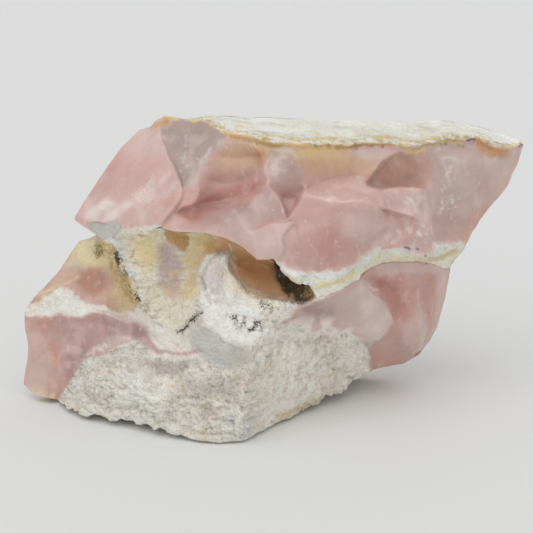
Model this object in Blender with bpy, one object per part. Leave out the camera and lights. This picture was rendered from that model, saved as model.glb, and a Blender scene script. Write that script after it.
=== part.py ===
"""Raw pink opal in its chalky matrix: one natural stone, resting on its flat foot.

Millimetres while shaping, metres in the scene. X runs to the right, Y away from the front, Z up.
The stone is one distance-like function of a point (negative inside the stone), built from flat
cleavage faces, conchoidal dishes and swellings. An icosphere is cast outwards from a core point
onto that function, so the skin is one closed surface, and a Decimate modifier thins its triangles.
"""

import bmesh
import bpy
import numpy as np

NODE = "pink_opal"
MM = 0.001

# ---- driving dimensions, in millimetres -------------------------------------------------------
STONE_LENGTH = 81.5
CORE = (-1.0, 9.0, 28.0)
FARTHEST = 62.0
SPHERE_LEVELS = 8
TRIANGLES = 8400
CREASE = 0.4
SEAM_CREASE = 0.8
CHEEK_PLATE_STEP = 1.3
SWELL = 0.45
RIPPLE = 0.13
CHALK_LUMPS = 0.35
CHALK_GRAINS = 0.18
FRONT_SLOPE = (0.0, 0.966, -0.259)

# Flat faces, each as a point on the face and its outward direction.
TOP = ((3.0, 0.0, 45.3), (0.095, -0.02, 1.0))
BACK_LEFT = ((5.0, 16.5, 45.0), (-0.33, 0.94, 0.03))
BACK_RIGHT = ((24.0, 22.5, 36.0), (0.10, 0.98, -0.12))
RIGHT_END = ((42.0, 13.5, 41.4), (0.64, 0.70, -0.493))
FAR_LEFT = ((-20.3, 7.5, 45.2), (-0.77, 0.46, 0.44))
RIGHT_FRONT = ((26.0, 3.0, 43.4), (0.504, -0.863, -0.081))
CHEEK = ((-24.0, 1.5, 36.0), (-0.379, -0.733, 0.564))
FRONT_LEFT = ((-9.0, -8.0, 31.3), (-0.33, -0.83, 0.45))
FRONT_MIDDLE = ((8.0, -9.6, 28.0), (0.06, -0.90, 0.43))
UNDERSIDE = ((-20.0, 0.0, 30.2), (-0.08, -0.15, -1.0))
LEFT_SHELF = ((-6.0, -1.0, 35.9), (-0.09, -0.55, 0.835))
DOME_SHELF = ((12.0, -3.0, 39.4), (0.02, -0.36, 0.93))
NOTCH_FLOOR = ((21.0, 0.0, 37.5), (0.05, -0.50, 0.86))
NOTCH_WALL = ((18.3, -2.0, 40.8), (-0.80, -0.25, 0.42))
LOWER_BACK = ((5.0, 18.0, 15.0), (-0.25, 0.96, -0.10))
LOWER_BACK_RIGHT = ((18.0, 18.5, 15.0), (0.35, 0.92, -0.15))
LOWER_BACK_TOP = ((-5.0, 17.5, 27.0), (-0.15, 0.80, 0.58))
LEFT_END = ((-39.5, 7.0, 9.0), (-0.985, 0.17, 0.02))
LEFT_FOOT = ((-38.6, 5.0, 1.8), (-0.60, -0.20, -0.78))
WEDGE_FACE = ((-27.8, 5.0, 27.7), (-0.48, -0.80, 0.34))
WEDGE_BACK = ((-33.5, 8.2, 22.0), (-0.62, 0.55, 0.60))
HOLLOW_RAMP = ((-20.1, -3.5, 18.6), (0.02, -0.83, 0.55))
STEP_SIDE = ((-30.0, 0.6, 10.0), (-0.47, -0.88, 0.06))
STEP_RIM = ((-33.4, 2.4, 17.3), (-0.25, -0.62, 0.74))
STEP_CORNER = ((-38.0, 8.0, 16.0), (-0.50, 0.40, 0.76))
PROW_LEFT = ((-20.0, -7.0, 6.0), (-0.60, -0.79, 0.10))
PROW_RIGHT = ((3.7, -9.0, 19.4), (0.80, -0.58, -0.13))
PROW_NOSE = ((-4.5, -17.6, 8.0), (0.05, -1.0, 0.0))
PROW_TOP = ((-5.0, -14.2, 17.6), (-0.10, -0.60, 0.80))
PROW_SHOULDER = ((-16.0, -6.5, 15.5), (-0.45, -0.55, 0.70))
SHELL_FACE = ((10.0, -6.4, 19.0), (0.42, -0.87, -0.24))
SHELL_FOOT = ((18.0, 0.0, 11.5), (0.60, 0.0, -0.80))
RIGHT_FACE = ((22.0, 1.2, 18.0), (0.45, -0.88, -0.15))
RIGHT_SIDE = ((28.8, 6.0, 19.0), (0.92, 0.35, -0.22))
RIGHT_FOOT = ((21.0, 9.0, 3.8), (0.40, 0.0, -0.92))
CORE_LEFT = ((0.0, 1.0, 20.0), (-0.35, -0.93, 0.0))
CORE_RIGHT = ((10.0, 3.0, 18.0), (0.45, -0.88, -0.10))
SEAM_END = ((30.1, 8.0, 22.0), (0.92, 0.25, -0.30))
HORN_LEFT = ((-8.6, -7.6, 24.5), (-0.75, -0.35, 0.55))
HORN_RIGHT = ((-4.3, -7.2, 24.5), (0.80, -0.25, 0.50))
HORN_FRONT = ((-6.0, -8.4, 22.8), (0.0, -0.75, 0.66))
HORN_BACK = ((-6.0, -3.6, 26.5), (0.0, 0.90, 0.40))
DOME_TOP = ((10.0, -8.3, 37.2), (0.05, -0.42, 0.90))
DOME_LEFT = ((3.6, -8.2, 33.0), (-0.93, -0.35, -0.10))
DOME_CHIN = ((10.0, -9.3, 27.6), (0.05, -0.72, -0.69))
DOME_RIGHT = ((17.8, -7.0, 32.0), (0.80, -0.60, 0.0))
DOME_FOOT = ((11.0, -9.0, 26.1), (-0.12, -0.33, -0.94))
COLUMN_FACE = ((21.0, -3.6, 31.0), (0.40, -0.90, 0.10))
COLUMN_SIDE = ((27.0, 1.0, 32.0), (0.90, -0.42, 0.10))
COLUMN_TOP = ((20.0, -2.5, 36.2), (0.10, -0.45, 0.88))
TOOTH_FACE = ((1.5, -6.5, 36.2), (0.05, -0.85, 0.52))
TOOTH_RIGHT = ((3.3, -6.0, 35.0), (0.80, -0.55, 0.20))
TOOTH_LEFT = ((-2.8, -5.5, 35.0), (-0.60, -0.70, 0.40))
TOOTH_TOP = ((1.0, -4.0, 38.2), (0.0, 0.30, 1.0))

# Rounded forms, each as a centre and its three half-axes.
LEFT_DISH = ((-4.4, -11.3, 40.5), (9.0, 10.7, 14.0))
MIDDLE_DISH = ((8.3, -12.6, 41.5), (9.6, 10.6, 10.0))
NOTCH_DISH = ((22.5, -6.0, 40.5), (7.0, 9.3, 7.5))
WEDGE_DISH = ((-33.5, -9.5, 25.0), (13.2, 13.2, 13.2))
RIGHT_DISH = ((22.5, -10.0, 18.5), (8.0, 12.7, 8.5))
BOWL = ((-14.0, -12.0, 24.0), (9.0, 13.6, 8.2))
HOLE = ((0.3, -11.5, 24.1), (6.4, 13.5, 4.4))
DOME = ((10.5, -0.5, 31.0), (14.0, 9.7, 13.0))
KNOB = ((0.8, -5.0, 31.0), (4.2, 5.4, 3.4))

# Round edges of two broken-off plates: a point on the axis and the radius.
CHEEK_PLATE = ((-22.8, 0.0, 37.0), 9.8)
SHELL_PLATE = ((11.0, 0.0, 16.2), 9.3)

# The chalk seam between the two blocks, by its place along X.
SEAM_X = (3.0, 8.0, 13.6, 15.4, 17.0, 21.0, 26.0, 29.0, 33.0)
SEAM_FRONT = (-10.6, -10.6, -9.4, -8.2, -6.3, -2.9, 0.9, 4.4, 8.5)
SEAM_TOP = (26.2, 26.1, 26.2, 27.0, 28.0, 28.1, 27.0, 26.8, 23.5)
SEAM_FOOT = (19.8, 20.6, 22.8, 23.6, 24.2, 24.6, 23.6, 22.0, 20.5)


def unit(direction):
    """The direction as a vector of length one."""
    vector = np.array(direction, float)
    return vector / np.linalg.norm(vector)


def flat(points, face):
    """Signed distance to a flat face, positive on its outer side."""
    place, direction = face
    return (points - np.array(place)) @ unit(direction)


def level(points, axis, value, sign):
    """Signed distance to an axis-square plane that limits a body on one side."""
    return sign * (points[:, axis] - value)


def egg(points, form):
    """Near-distance to an ellipsoid, negative inside."""
    centre, half_axes = form
    scaled = (points - np.array(centre)) / np.array(half_axes)
    length = np.linalg.norm(scaled, axis=1)
    slope = np.linalg.norm(scaled / np.array(half_axes), axis=1)
    return length * (length - 1.0) / np.maximum(slope, 1e-6)


def rod(points, form):
    """Distance to an endless cylinder whose axis runs back and down through the stone."""
    centre, radius = form
    axis = unit(FRONT_SLOPE)
    arm = points - np.array(centre)
    arm = arm - (arm @ axis)[:, None] * axis
    return np.linalg.norm(arm, axis=1) - radius


def join(first, second, soft=CREASE):
    """Union of two bodies with a small fillet."""
    blend = np.clip(0.5 + 0.5 * (second - first) / soft, 0.0, 1.0)
    return second + (first - second) * blend - soft * blend * (1.0 - blend)


def overlap(first, *others, soft=CREASE):
    """The part shared by several bodies, with slightly worn edges."""
    shared = first
    for other in others:
        shared = -join(-shared, -other, soft)
    return shared


def carve(body, tool, soft=CREASE):
    """The body with the tool's volume taken away."""
    return overlap(body, -tool, soft=soft)


def waves(points, size, seed):
    """A smooth wandering value near -1 to 1: six sine waves in fixed, scattered directions."""
    dice = np.random.RandomState(seed)
    total = np.zeros(len(points))
    for _ in range(6):
        heading = unit(dice.normal(size=3)) * 2.0 * np.pi / (size * (0.7 + 0.6 * dice.rand()))
        total += np.sin(points @ heading + dice.rand() * 2.0 * np.pi)
    return total / 3.0


def unsettle(points):
    """Moves the points a little before they are measured, so no face is quite flat or straight."""
    slow = np.stack([waves(points, 15.0, seed) for seed in (1, 2, 3)], axis=1)
    quick = np.stack([waves(points, 5.0, seed) for seed in (4, 5, 6)], axis=1)
    return points + SWELL * slow + RIPPLE * quick


def upper_block(p):
    """The leaning opal block under the flat rind, with its dishes, notch and cheek plate."""
    back = overlap(flat(p, BACK_LEFT), flat(p, BACK_RIGHT))
    top = flat(p, TOP)
    far_left = flat(p, FAR_LEFT)
    cheek = flat(p, CHEEK)
    front_left = flat(p, FRONT_LEFT)
    sides = overlap(top, back, flat(p, RIGHT_END), far_left, flat(p, RIGHT_FRONT))
    body = overlap(sides, cheek + CHEEK_PLATE_STEP, front_left, flat(p, FRONT_MIDDLE))
    body = carve(body, overlap(egg(p, LEFT_DISH), -flat(p, LEFT_SHELF), soft=0.3), 0.3)
    body = carve(body, overlap(egg(p, MIDDLE_DISH), -flat(p, DOME_SHELF), soft=0.3), 0.3)
    notch = overlap(egg(p, NOTCH_DISH), -flat(p, NOTCH_FLOOR), -flat(p, NOTCH_WALL), soft=0.3)
    body = carve(body, notch, 0.3)
    plate = overlap(cheek, rod(p, CHEEK_PLATE), far_left, top, back, front_left - 1.5, soft=0.3)
    body = join(body, plate, 0.2)
    return overlap(body, flat(p, UNDERSIDE), soft=0.5)


def left_block(p, back):
    """The low block at the left: a wedge with a hollow face, standing on a rimmed step."""
    end = flat(p, LEFT_END)
    ramp = flat(p, HOLLOW_RAMP)
    face = flat(p, WEDGE_FACE)
    wedge = overlap(face, flat(p, WEDGE_BACK), back, end, ramp, level(p, 2, 29.5, 1))
    wedge = overlap(wedge, level(p, 2, 13.0, -1), level(p, 0, -14.0, 1))
    wedge = carve(wedge, egg(p, WEDGE_DISH), 0.5)
    step = overlap(flat(p, STEP_SIDE), flat(p, STEP_RIM), end, flat(p, LEFT_FOOT), back)
    step = overlap(step, flat(p, STEP_CORNER), level(p, 0, -10.0, 1))
    slope = overlap(ramp, face, flat(p, WEDGE_BACK), level(p, 2, 30.5, 1), level(p, 0, -4.0, 1))
    slope = overlap(slope, level(p, 2, 14.5, -1), back)
    return join(join(wedge, step, 0.3), slope)


def chalk_prow(p, back):
    """The lumpy chalk mass that runs forward to an upright edge."""
    lumps = CHALK_LUMPS * waves(p, 7.0, 11) + CHALK_GRAINS * waves(p, 3.4, 12)
    sides = overlap(flat(p, PROW_LEFT), flat(p, PROW_RIGHT), flat(p, PROW_NOSE), soft=SEAM_CREASE)
    tops = overlap(flat(p, PROW_TOP), flat(p, PROW_SHOULDER), level(p, 2, 22.0, 1), soft=SEAM_CREASE)
    return overlap(sides, tops, back, level(p, 0, -31.0, -1), soft=SEAM_CREASE) + lumps


def right_block(p, back):
    """The opal under the seam at the right: a shell-edged plate over a dished face."""
    plate = overlap(flat(p, SHELL_FACE), back, level(p, 2, 24.5, 1), rod(p, SHELL_PLATE), soft=0.3)
    plate = overlap(plate, flat(p, SHELL_FOOT), soft=0.3)
    block = overlap(flat(p, RIGHT_FACE), flat(p, RIGHT_SIDE), flat(p, RIGHT_FOOT), back)
    block = overlap(block, level(p, 0, 3.0, -1), level(p, 2, 26.5, 1))
    block = carve(block, egg(p, RIGHT_DISH))
    return join(plate, block, 0.3)


def heart(p, back):
    """The plain mass behind the front faces, which ties the blocks together."""
    sides = overlap(flat(p, LEFT_END), flat(p, LEFT_FOOT), flat(p, WEDGE_BACK), flat(p, RIGHT_SIDE))
    front = overlap(level(p, 1, 0.0, -1), flat(p, CORE_LEFT), flat(p, CORE_RIGHT))
    return overlap(sides, front, back, flat(p, RIGHT_FOOT), level(p, 2, 30.0, 1))


def seam(p, back):
    """The chalk band that divides the upper block from the lower right one."""
    front = (np.interp(p[:, 0], SEAM_X, SEAM_FRONT) - p[:, 1]) * 0.8
    over = p[:, 2] - np.interp(p[:, 0], SEAM_X, SEAM_TOP)
    under = np.interp(p[:, 0], SEAM_X, SEAM_FOOT) - p[:, 2]
    band = overlap(front, over, under, back, level(p, 0, 3.0, -1), flat(p, SEAM_END), soft=SEAM_CREASE)
    return band + 0.5 * CHALK_LUMPS * waves(p, 4.0, 13)


def horn(p):
    """The white horn that stands at the mouth of the hollow."""
    return overlap(flat(p, HORN_LEFT), flat(p, HORN_RIGHT), flat(p, HORN_FRONT), flat(p, HORN_BACK),
                   level(p, 2, 13.0, -1))


def ledge_lumps(p, stone):
    """The dome, the column beside it, the knob at the lip and the tooth above it."""
    dome = overlap(egg(p, DOME), flat(p, DOME_TOP), flat(p, DOME_LEFT), flat(p, DOME_RIGHT), flat(p, DOME_CHIN))
    dome = overlap(dome, flat(p, DOME_FOOT))
    column = overlap(flat(p, COLUMN_FACE), flat(p, COLUMN_SIDE), flat(p, COLUMN_TOP), level(p, 2, 27.0, -1))
    column = overlap(column, level(p, 0, 10.0, -1), level(p, 1, 8.0, 1))
    knob = overlap(egg(p, KNOB), level(p, 2, 28.0, -1))
    tooth = overlap(flat(p, TOOTH_FACE), flat(p, TOOTH_RIGHT), flat(p, TOOTH_LEFT), flat(p, TOOTH_TOP), soft=0.3)
    tooth = overlap(tooth, level(p, 2, 32.0, -1), level(p, 1, 0.0, 1), soft=0.3)
    for lump in (dome, column, knob, tooth):
        stone = join(stone, lump, 0.3)
    return stone


def stone_value(points):
    """Negative inside the stone, positive outside, zero on its skin."""
    p = unsettle(points)
    back = overlap(flat(p, LOWER_BACK), flat(p, LOWER_BACK_RIGHT), flat(p, LOWER_BACK_TOP), soft=0.5)
    lower = join(left_block(p, back), chalk_prow(p, back), SEAM_CREASE)
    lower = join(lower, right_block(p, back), 0.3)
    lower = join(lower, heart(p, back))
    stone = join(upper_block(p), lower, 0.5)
    stone = join(stone, seam(p, back))
    stone = carve(stone, egg(p, BOWL), SEAM_CREASE)
    stone = carve(stone, egg(p, HOLE), 0.6)
    stone = join(stone, horn(p), SEAM_CREASE)
    stone = ledge_lumps(p, stone)
    return np.maximum(stone, -points[:, 2])


def skin_points(directions):
    """For each direction from the core, the farthest point of the stone's skin."""
    core = np.array(CORE)
    inner = np.zeros(len(directions))
    outer = np.full(len(directions), FARTHEST)
    searching = np.ones(len(directions), bool)
    for reach in np.linspace(FARTHEST, 2.0, 60):
        chosen = np.flatnonzero(searching)
        if len(chosen) == 0:
            break
        inside = stone_value(core + directions[chosen] * reach) < 0.0
        inner[chosen[inside]] = reach
        searching[chosen[inside]] = False
        outer[chosen[~inside]] = reach
    for _ in range(16):
        middle = 0.5 * (inner + outer)
        inside = stone_value(core + directions * middle[:, None]) < 0.0
        inner = np.where(inside, middle, inner)
        outer = np.where(inside, outer, middle)
    skin = core + directions * (0.5 * (inner + outer))[:, None]
    skin[skin[:, 2] < 0.004, 2] = 0.0
    return skin


def clear_scene():
    """Removes everything that the new scene came with."""
    for thing in list(bpy.data.objects):
        bpy.data.objects.remove(thing, do_unlink=True)


def opal_material():
    """Satin pale-pink opal."""
    material = bpy.data.materials.new("pink_opal")
    material.use_nodes = True
    shader = material.node_tree.nodes["Principled BSDF"]
    shader.inputs["Base Color"].default_value = (0.62, 0.40, 0.37, 1.0)
    shader.inputs["Roughness"].default_value = 0.45
    shader.inputs["Metallic"].default_value = 0.0
    return material


def ball_mesh():
    """A fine icosphere of radius one, as the starting skin."""
    mesh = bpy.data.meshes.new(NODE)
    ball = bmesh.new()
    bmesh.ops.create_icosphere(ball, subdivisions=SPHERE_LEVELS, radius=1.0)
    ball.to_mesh(mesh)
    ball.free()
    return mesh


def cast_on_stone(mesh):
    """Moves every vertex of the ball out onto the stone's skin."""
    count = len(mesh.vertices)
    flat_list = np.empty(count * 3)
    mesh.vertices.foreach_get("co", flat_list)
    directions = flat_list.reshape(count, 3)
    directions /= np.linalg.norm(directions, axis=1)[:, None]
    skin = skin_points(directions)
    mesh.vertices.foreach_set("co", (skin * MM).ravel())
    mesh.update()


def thin_out(stone, faces):
    """Collapses short edges until the wanted number of triangles is left, then applies it."""
    modifier = stone.modifiers.new("thin_out", "DECIMATE")
    modifier.decimate_type = "COLLAPSE"
    modifier.ratio = faces / len(stone.data.polygons)
    modifier.use_collapse_triangulate = True
    graph = bpy.context.evaluated_depsgraph_get()
    thinned = bpy.data.meshes.new_from_object(stone.evaluated_get(graph))
    stone.modifiers.clear()
    stone.data = thinned


def settle(mesh):
    """Puts the foot on the floor and the middle of the outline over the origin, at full length."""
    count = len(mesh.vertices)
    flat_list = np.empty(count * 3)
    mesh.vertices.foreach_get("co", flat_list)
    points = flat_list.reshape(count, 3)
    points[points[:, 2] < 0.02 * MM, 2] = 0.0
    low = points.min(axis=0)
    high = points.max(axis=0)
    points -= np.array(((low[0] + high[0]) / 2.0, (low[1] + high[1]) / 2.0, 0.0))
    points *= STONE_LENGTH * MM / (high[0] - low[0])
    mesh.vertices.foreach_set("co", points.ravel())
    mesh.update()


def main():
    clear_scene()
    mesh = ball_mesh()
    cast_on_stone(mesh)
    stone = bpy.data.objects.new(NODE, mesh)
    bpy.context.scene.collection.objects.link(stone)
    bpy.context.view_layer.update()
    thin_out(stone, TRIANGLES)
    settle(stone.data)
    stone.data.name = NODE
    stone.data.materials.clear()
    stone.data.materials.append(opal_material())


main()
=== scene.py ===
"""Looks of a raw pink opal: a broken chunk of pink opal in white chalky matrix, on a pale table.

The stone is two closed skins that meet inside it: the leaning upper block and the lower block.
Each skin is a front surface and a back surface of two parameters, across and down a drawing sheet,
sewn together along the block's outline. All shaping is in millimetres in the stone's own drawing
frame, and in_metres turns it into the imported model's frame. X runs to the right, Y away from the
front, Z up.

The drawing sheet is the stone as seen from a drawing point 350 mm in front of it and 15 degrees
up, in sheet units of 0.16 mm, with X to the right and Y down. A line drawn on it holds points of
(across, down, depth), where depth is the drawing frame's Y in millimetres. A step line holds
(across, down, near depth, far depth), with its near side to the right of the way it is walked.
Outlines and routes of colour, scars and grains are numbers that go across and down in turn.
"""

import itertools

import bpy
import numpy as np
from mathutils import Matrix


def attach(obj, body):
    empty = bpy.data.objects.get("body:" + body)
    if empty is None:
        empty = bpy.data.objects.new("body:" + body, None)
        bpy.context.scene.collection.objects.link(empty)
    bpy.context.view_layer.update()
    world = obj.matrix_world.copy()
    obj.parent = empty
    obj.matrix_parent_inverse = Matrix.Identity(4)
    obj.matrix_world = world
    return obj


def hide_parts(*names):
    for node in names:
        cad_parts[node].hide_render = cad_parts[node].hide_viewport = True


bl_info = {
    "name": "Raw Pink Opal",
    "version": (1, 0, 0),
    "blender": (4, 5, 0),
    "location": "View3D > Sidebar > Opal",
    "description": "Builds a raw pink opal specimen around its packed solid",
    "category": "Add Mesh",
}

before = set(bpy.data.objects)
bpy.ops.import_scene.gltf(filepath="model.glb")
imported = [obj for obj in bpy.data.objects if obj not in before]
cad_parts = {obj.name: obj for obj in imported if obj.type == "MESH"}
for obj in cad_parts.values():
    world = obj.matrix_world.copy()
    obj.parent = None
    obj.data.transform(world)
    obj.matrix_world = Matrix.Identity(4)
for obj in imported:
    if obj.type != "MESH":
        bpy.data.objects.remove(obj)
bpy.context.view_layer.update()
NODE = "pink_opal"
MM = 0.001

# ---- sizes ------------------------------------------------------------------------------------
# The drawing frame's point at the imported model's origin, in millimetres, and the scale between them.
FRAME_MIDDLE = (1.03, 2.40, 0.0)
FRAME_SCALE = 0.997
SHEET_UNIT = 0.16
SHEET_MIDDLE = 266.5
LOOK_AT = (0.0, 0.0, 24.0)
LOOK_DISTANCE = 350.0
LOOK_UP_DEGREES = 15.0

# Cells of each block's grid, across and down, and the cell sizes that the depths are settled on.
UPPER_CELLS = (372, 128)
LOWER_CELLS = (320, 152)
SHEET_CELLS = (16, 8, 4, 2, 1)
SETTLE_ROUNDS = 90
SMOOTH_ROUNDS = 2
# In sheet units: between samples of a drawn line, from a step's line to its sides, round a block,
# and from a block's outline to where its back reaches its full depth.
LINE_SPACING = 0.4
STEP_HALF = 1.0
SHEET_MARGIN = 8
EDGE_BAND = 3.0
# Heights in millimetres between which the back's waves and the fine relief set in.
BACK_RISE = (0.4, 3.0)
RELIEF_RISE = (0.2, 1.2)
# In millimetres: the least way from a front to its back, and farther than any part of the stone.
LEAST_THICKNESS = 0.4
FAR_AWAY = 99.0
# The orders in which a front quad's and a back quad's corners are taken, so that both face outward.
FRONT_ORDER = (0, 1, 2, 3)
BACK_ORDER = (3, 2, 1, 0)
BAKE_MARGIN = 0.01

# ---- the stage --------------------------------------------------------------------------------
LAMP_PLACE = (-0.12, -0.34, 0.55)
CAMERA_SETTINGS = {"lens": 147.75, "sensor_width": 36.0, "clip_start": 0.01, "clip_end": 20.0}
TABLE_RADIUS = 2.5
TABLE_CORNERS = 64
TABLE_INPUTS = {"Roughness": 0.6, "Specular IOR Level": 0.2}

# ---- the upper block, drawn on the sheet ------------------------------------------------------
UPPER_TOP = (
    (75, 217, 3), (83, 203, 3.5), (97, 182, 4.5), (108, 165, 5.3), (117, 153, 6), (127, 141, 7),
    (140, 129, 8), (151, 127, 9), (156, 120, 9.5), (165, 115.5, 9), (172, 117, 8.5), (185, 118.5, 8.3),
    (196, 118, 9.5), (210, 116.5, 11.5), (220, 116, 13), (250, 117, 15), (300, 118, 16), (340, 120, 16.8),
    (380, 121.5, 17.7), (410, 121, 20), (440, 120, 21.6), (455, 121, 21.8), (480, 127, 20.6),
    (505, 135, 17.4), (518, 140, 15), (523, 143, 13.5),
)
UPPER_FOOT = (
    (75, 220, 3), (84, 227, 2.4), (95, 234, 2), (104, 240, 1), (112, 238, -0.5), (120, 236, -1.5),
    (137, 233, -3), (150, 231, -4.2), (160, 227.5, -5.5), (168, 230, -6.2), (180, 232, -7), (205, 233, -8),
    (225, 238, -8.5), (235, 243, -9), (244, 248, -9.3), (251, 254, -9.7), (257, 260, -10.2),
    (264, 260, -10.4), (273, 259, -10.5), (281, 266, -10.6), (291, 279, -10.8), (300, 284, -11),
    (309, 287, -10.6), (318, 301, -10), (327, 297, -9.8), (340, 292, -9), (350, 287, -8), (358, 282, -7),
    (363, 274, -6), (370, 268, -4.5), (385, 263, -2.5), (400, 262, -1), (420, 263, 2), (440, 267, 6),
    (447, 271, 8.5), (455, 262, 9.5), (463, 252, 9), (470, 236, 9.3), (480, 220, 10), (488, 209, 10.5),
    (497, 199, 11), (505, 190, 11.5), (511, 177, 12), (517, 165, 12.6), (523, 146, 13.5),
)
RIND_EDGE = (
    (165, 121, 9), (178, 121, 7), (190, 120, 6.3), (200, 120, 5.5), (208, 121, 4.5), (213, 125, 3),
    (217, 129, 1.6), (224, 130, 1), (232, 133, 0), (240, 134, -0.5), (252, 136, -1.3), (262, 139, -2),
    (272, 142, -2.6), (285, 142, -3), (300, 143, -3.1), (320, 144, -3), (335, 143, -3), (350, 146, -3.1),
    (356, 142.5, -2.4), (368, 143, -2), (378, 142, -1.7), (390, 142.5, -1.2), (400, 146, -0.9),
    (415, 145, 0.6), (425, 143, 2.2), (436, 141, 3.5), (447, 138, 5), (460, 140, 6), (470, 138, 7.3),
    (480, 138.5, 8), (486, 142, 8.2), (495, 146, 8.6), (505, 149, 9.2), (513, 147, 10.5), (520, 144.5, 12),
)
# The groove below the rind's front edge: how far down it lies and how much deeper.
RIND_GROOVE_DROP = (6.0, 0.55)
CHEEK_EDGE = (
    (160, 126, 6, 6.6), (161, 135, 4.2, 5), (163, 142, 2.9, 3.6), (167, 147, 2, 2.8), (168, 155, 0.4, 1.3),
    (171, 161, -0.8, 0.2), (176, 167, -1.9, -0.9), (180, 178, -3.4, -2.4), (183, 190, -4.5, -3.7),
    (182, 197, -5, -4.4), (178, 204, -5.6, -4.7), (173, 211, -6, -4.6), (167, 218, -6.1, -5),
    (161, 226, -5.7, -5.4),
)
CREST = (
    (222, 131, 1), (215, 142, 0.3), (210, 150, -0.2), (203, 160, -1), (197, 168, -1.7), (190, 178, -2.7),
    (185, 187, -3.5),
)
LOBE_EDGE = (
    (199, 180, -2.6, -2.4), (201, 190, -3.4, -2.7), (199, 199, -4.1, -2.9), (192, 206, -4.7, -3.2),
    (184, 208, -5, -3.8), (177, 212, -5.3, -4.4),
)
DISH_WALL = ((214, 150, 0.4), (222, 156, 0.8), (238, 158, 0.8), (252, 157, 0.1), (260, 156, -0.9))
DISH_LOW = ((212, 180, 0.2), (222, 183, 0.5), (238, 182, 0.4), (250, 177, -0.1), (258, 172, -1.1))
DISH_FOOT = (
    (196, 205, -1.7), (203, 203, -0.9), (218, 202, -0.3), (230, 199, -0.1), (240, 196, -0.2),
    (250, 192, -0.6), (258, 186, -1.4), (264, 184, -2.1),
)
BROWN_RIDGE = ((254, 143, -2), (262, 158, -2.2), (267, 172, -2.6), (269, 184, -3))
POCKET = (
    (181, 215, -4.5), (190, 216, -4.1), (200, 214, -4.1), (214, 212, -4.5), (228, 210, -5), (240, 205, -5),
)
SHELF_EDGE = ((166, 226, -5.6), (185, 226, -6.2), (205, 226, -6.8), (225, 227, -7.6), (238, 228, -8.4))
TOOTH_LEFT_RIDGE = ((266, 188, -3.6), (258, 196, -4.6), (250, 206, -6.2), (244, 217, -7.6), (241, 226, -8.6))
TOOTH_EDGE = (
    (268, 185, -3.8, -3), (274, 190, -5, -2.4), (280, 197, -6.2, -2), (285, 206, -7.4, -3.2),
    (287, 217, -8.4, -6),
)
BACK_WALL_FOOT = ((281, 198, -1.2), (290, 199, -1.2), (296, 198, -1.2))
KNOB_TOP = (
    (246, 230, -9.2, -8.9), (252, 231, -9.8, -8.9), (258, 229, -10.1, -8.8), (266, 224, -10, -8.5),
    (275, 222, -9.9, -7.9), (284, 222, -9.9, -7.6), (291, 222.5, -9.8, -8.8),
)
KNOB_SIDE = (
    (293, 224, -9.8, -9.4), (288, 230, -10.5, -9.9), (283, 236, -10.9, -10.1), (282, 243, -11.2, -10.3),
    (285, 250, -11.3, -10.5), (282, 256, -11.2, -10.6), (277, 261, -10.9, -10.6),
)
KNOB_LEFT = ((249, 232, -9.8), (253, 240, -10.3), (256, 248, -10.6), (258, 257, -10.5))
DOME_EDGE = (
    (287, 221, -9.6, -8.4), (291, 213, -9.2, -4.5), (296, 205, -8.9, -2.2), (300, 196, -8.3, -1.6),
    (304, 190, -7.8, -1.5),
)
LEDGE_BACK = (
    (308, 188.5, -1.8), (318, 186, -2), (330, 180, -2.1), (345, 178, -2), (356, 176, -1.9), (364, 179, -2),
)
DOME_BROW = (
    (305, 192, -8), (315, 197, -9.2), (330, 200, -9.7), (345, 201, -9.5), (358, 200, -8.9), (368, 203, -8.3),
    (377, 208, -7.6),
)
DOME_MIDDLE = ((326, 226, -11.3), (327, 236, -11.7), (327, 248, -11.9), (326, 260, -11.7))
DOME_LEFT_MIDDLE = ((300, 225, -10.4), (299, 245, -11.2), (301, 262, -11.3))
DOME_RIGHT_MIDDLE = ((352, 218, -9.9), (356, 238, -10), (352, 258, -9.8))
DOME_FOOT = (
    (287, 267, -10.6), (297, 272, -11), (310, 272.5, -11.1), (330, 271, -11.1), (345, 269, -10.4),
    (356, 264, -9.5), (363, 257, -8.4), (370, 250, -7.4), (380, 247, -6.2),
)
DOME_RIGHT_EDGE = (
    (380, 209, -7.3, -6.3), (386, 216, -6.7, -4.9), (387, 226, -6.6, -4.7), (380, 232, -7, -5.4),
    (373, 239, -7.6, -6.6), (367, 246, -8, -7.5),
)
RECESS_BROW = (
    (417, 218, -3, -2.8), (408, 216, -3.6, -2.7), (398, 214, -4.3, -3.1), (389, 211, -5.2, -4),
    (381, 208.5, -6.4, -5.6),
)
RECESS_FOOT = ((376, 243, -6.4), (388, 242, -4.9), (400, 240, -3.9), (415, 237, -2.7), (429, 235, -1))
SEAM_BROW = (
    (384, 248, -5.4), (395, 247, -4.2), (404, 250, -3), (414, 254, -1.8), (424, 257, -0.6), (431, 253, 0.6),
)
SEAM_RIGHT_BROW = ((434, 242, 2.2), (445, 241.5, 4.6), (456, 243, 6.8), (463, 246, 8.2))
NOTCH_SILL = (
    (366, 184, -2.6, -1.8), (372, 187, -3.3, 0.4), (382, 188, -2.9, 2), (395, 186.5, -2, 3),
    (408, 186, -1, 3.8), (420, 187, 0, 4.2), (427, 189, 0.9, 3.2),
)
NOTCH_LEFT = (
    (401, 152, -0.4, 0.4), (390, 157, -1.3, 0.8), (381, 165, -1.8, 1.6), (374, 174, -2, 1.8),
    (368, 183, -2, 0.2),
)
NOTCH_BACK = ((404, 160, 2), (405, 170, 3.4), (406, 180, 4.2), (425, 172, 4), (428, 160, 3.6))
COLUMN_FACE = ((372, 196, -5.2), (388, 200, -4.4), (402, 203, -3.3), (415, 200, -1.9), (425, 198, -0.4))
COLUMN_EDGE = (
    (427, 189, 1, 2.8), (430, 200, 0.6, 3), (431, 210, 0.5, 3.3), (431, 222, 0.6, 3.6), (432, 235, 1.2, 3.4),
    (433, 241, 2, 2.9),
)
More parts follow.
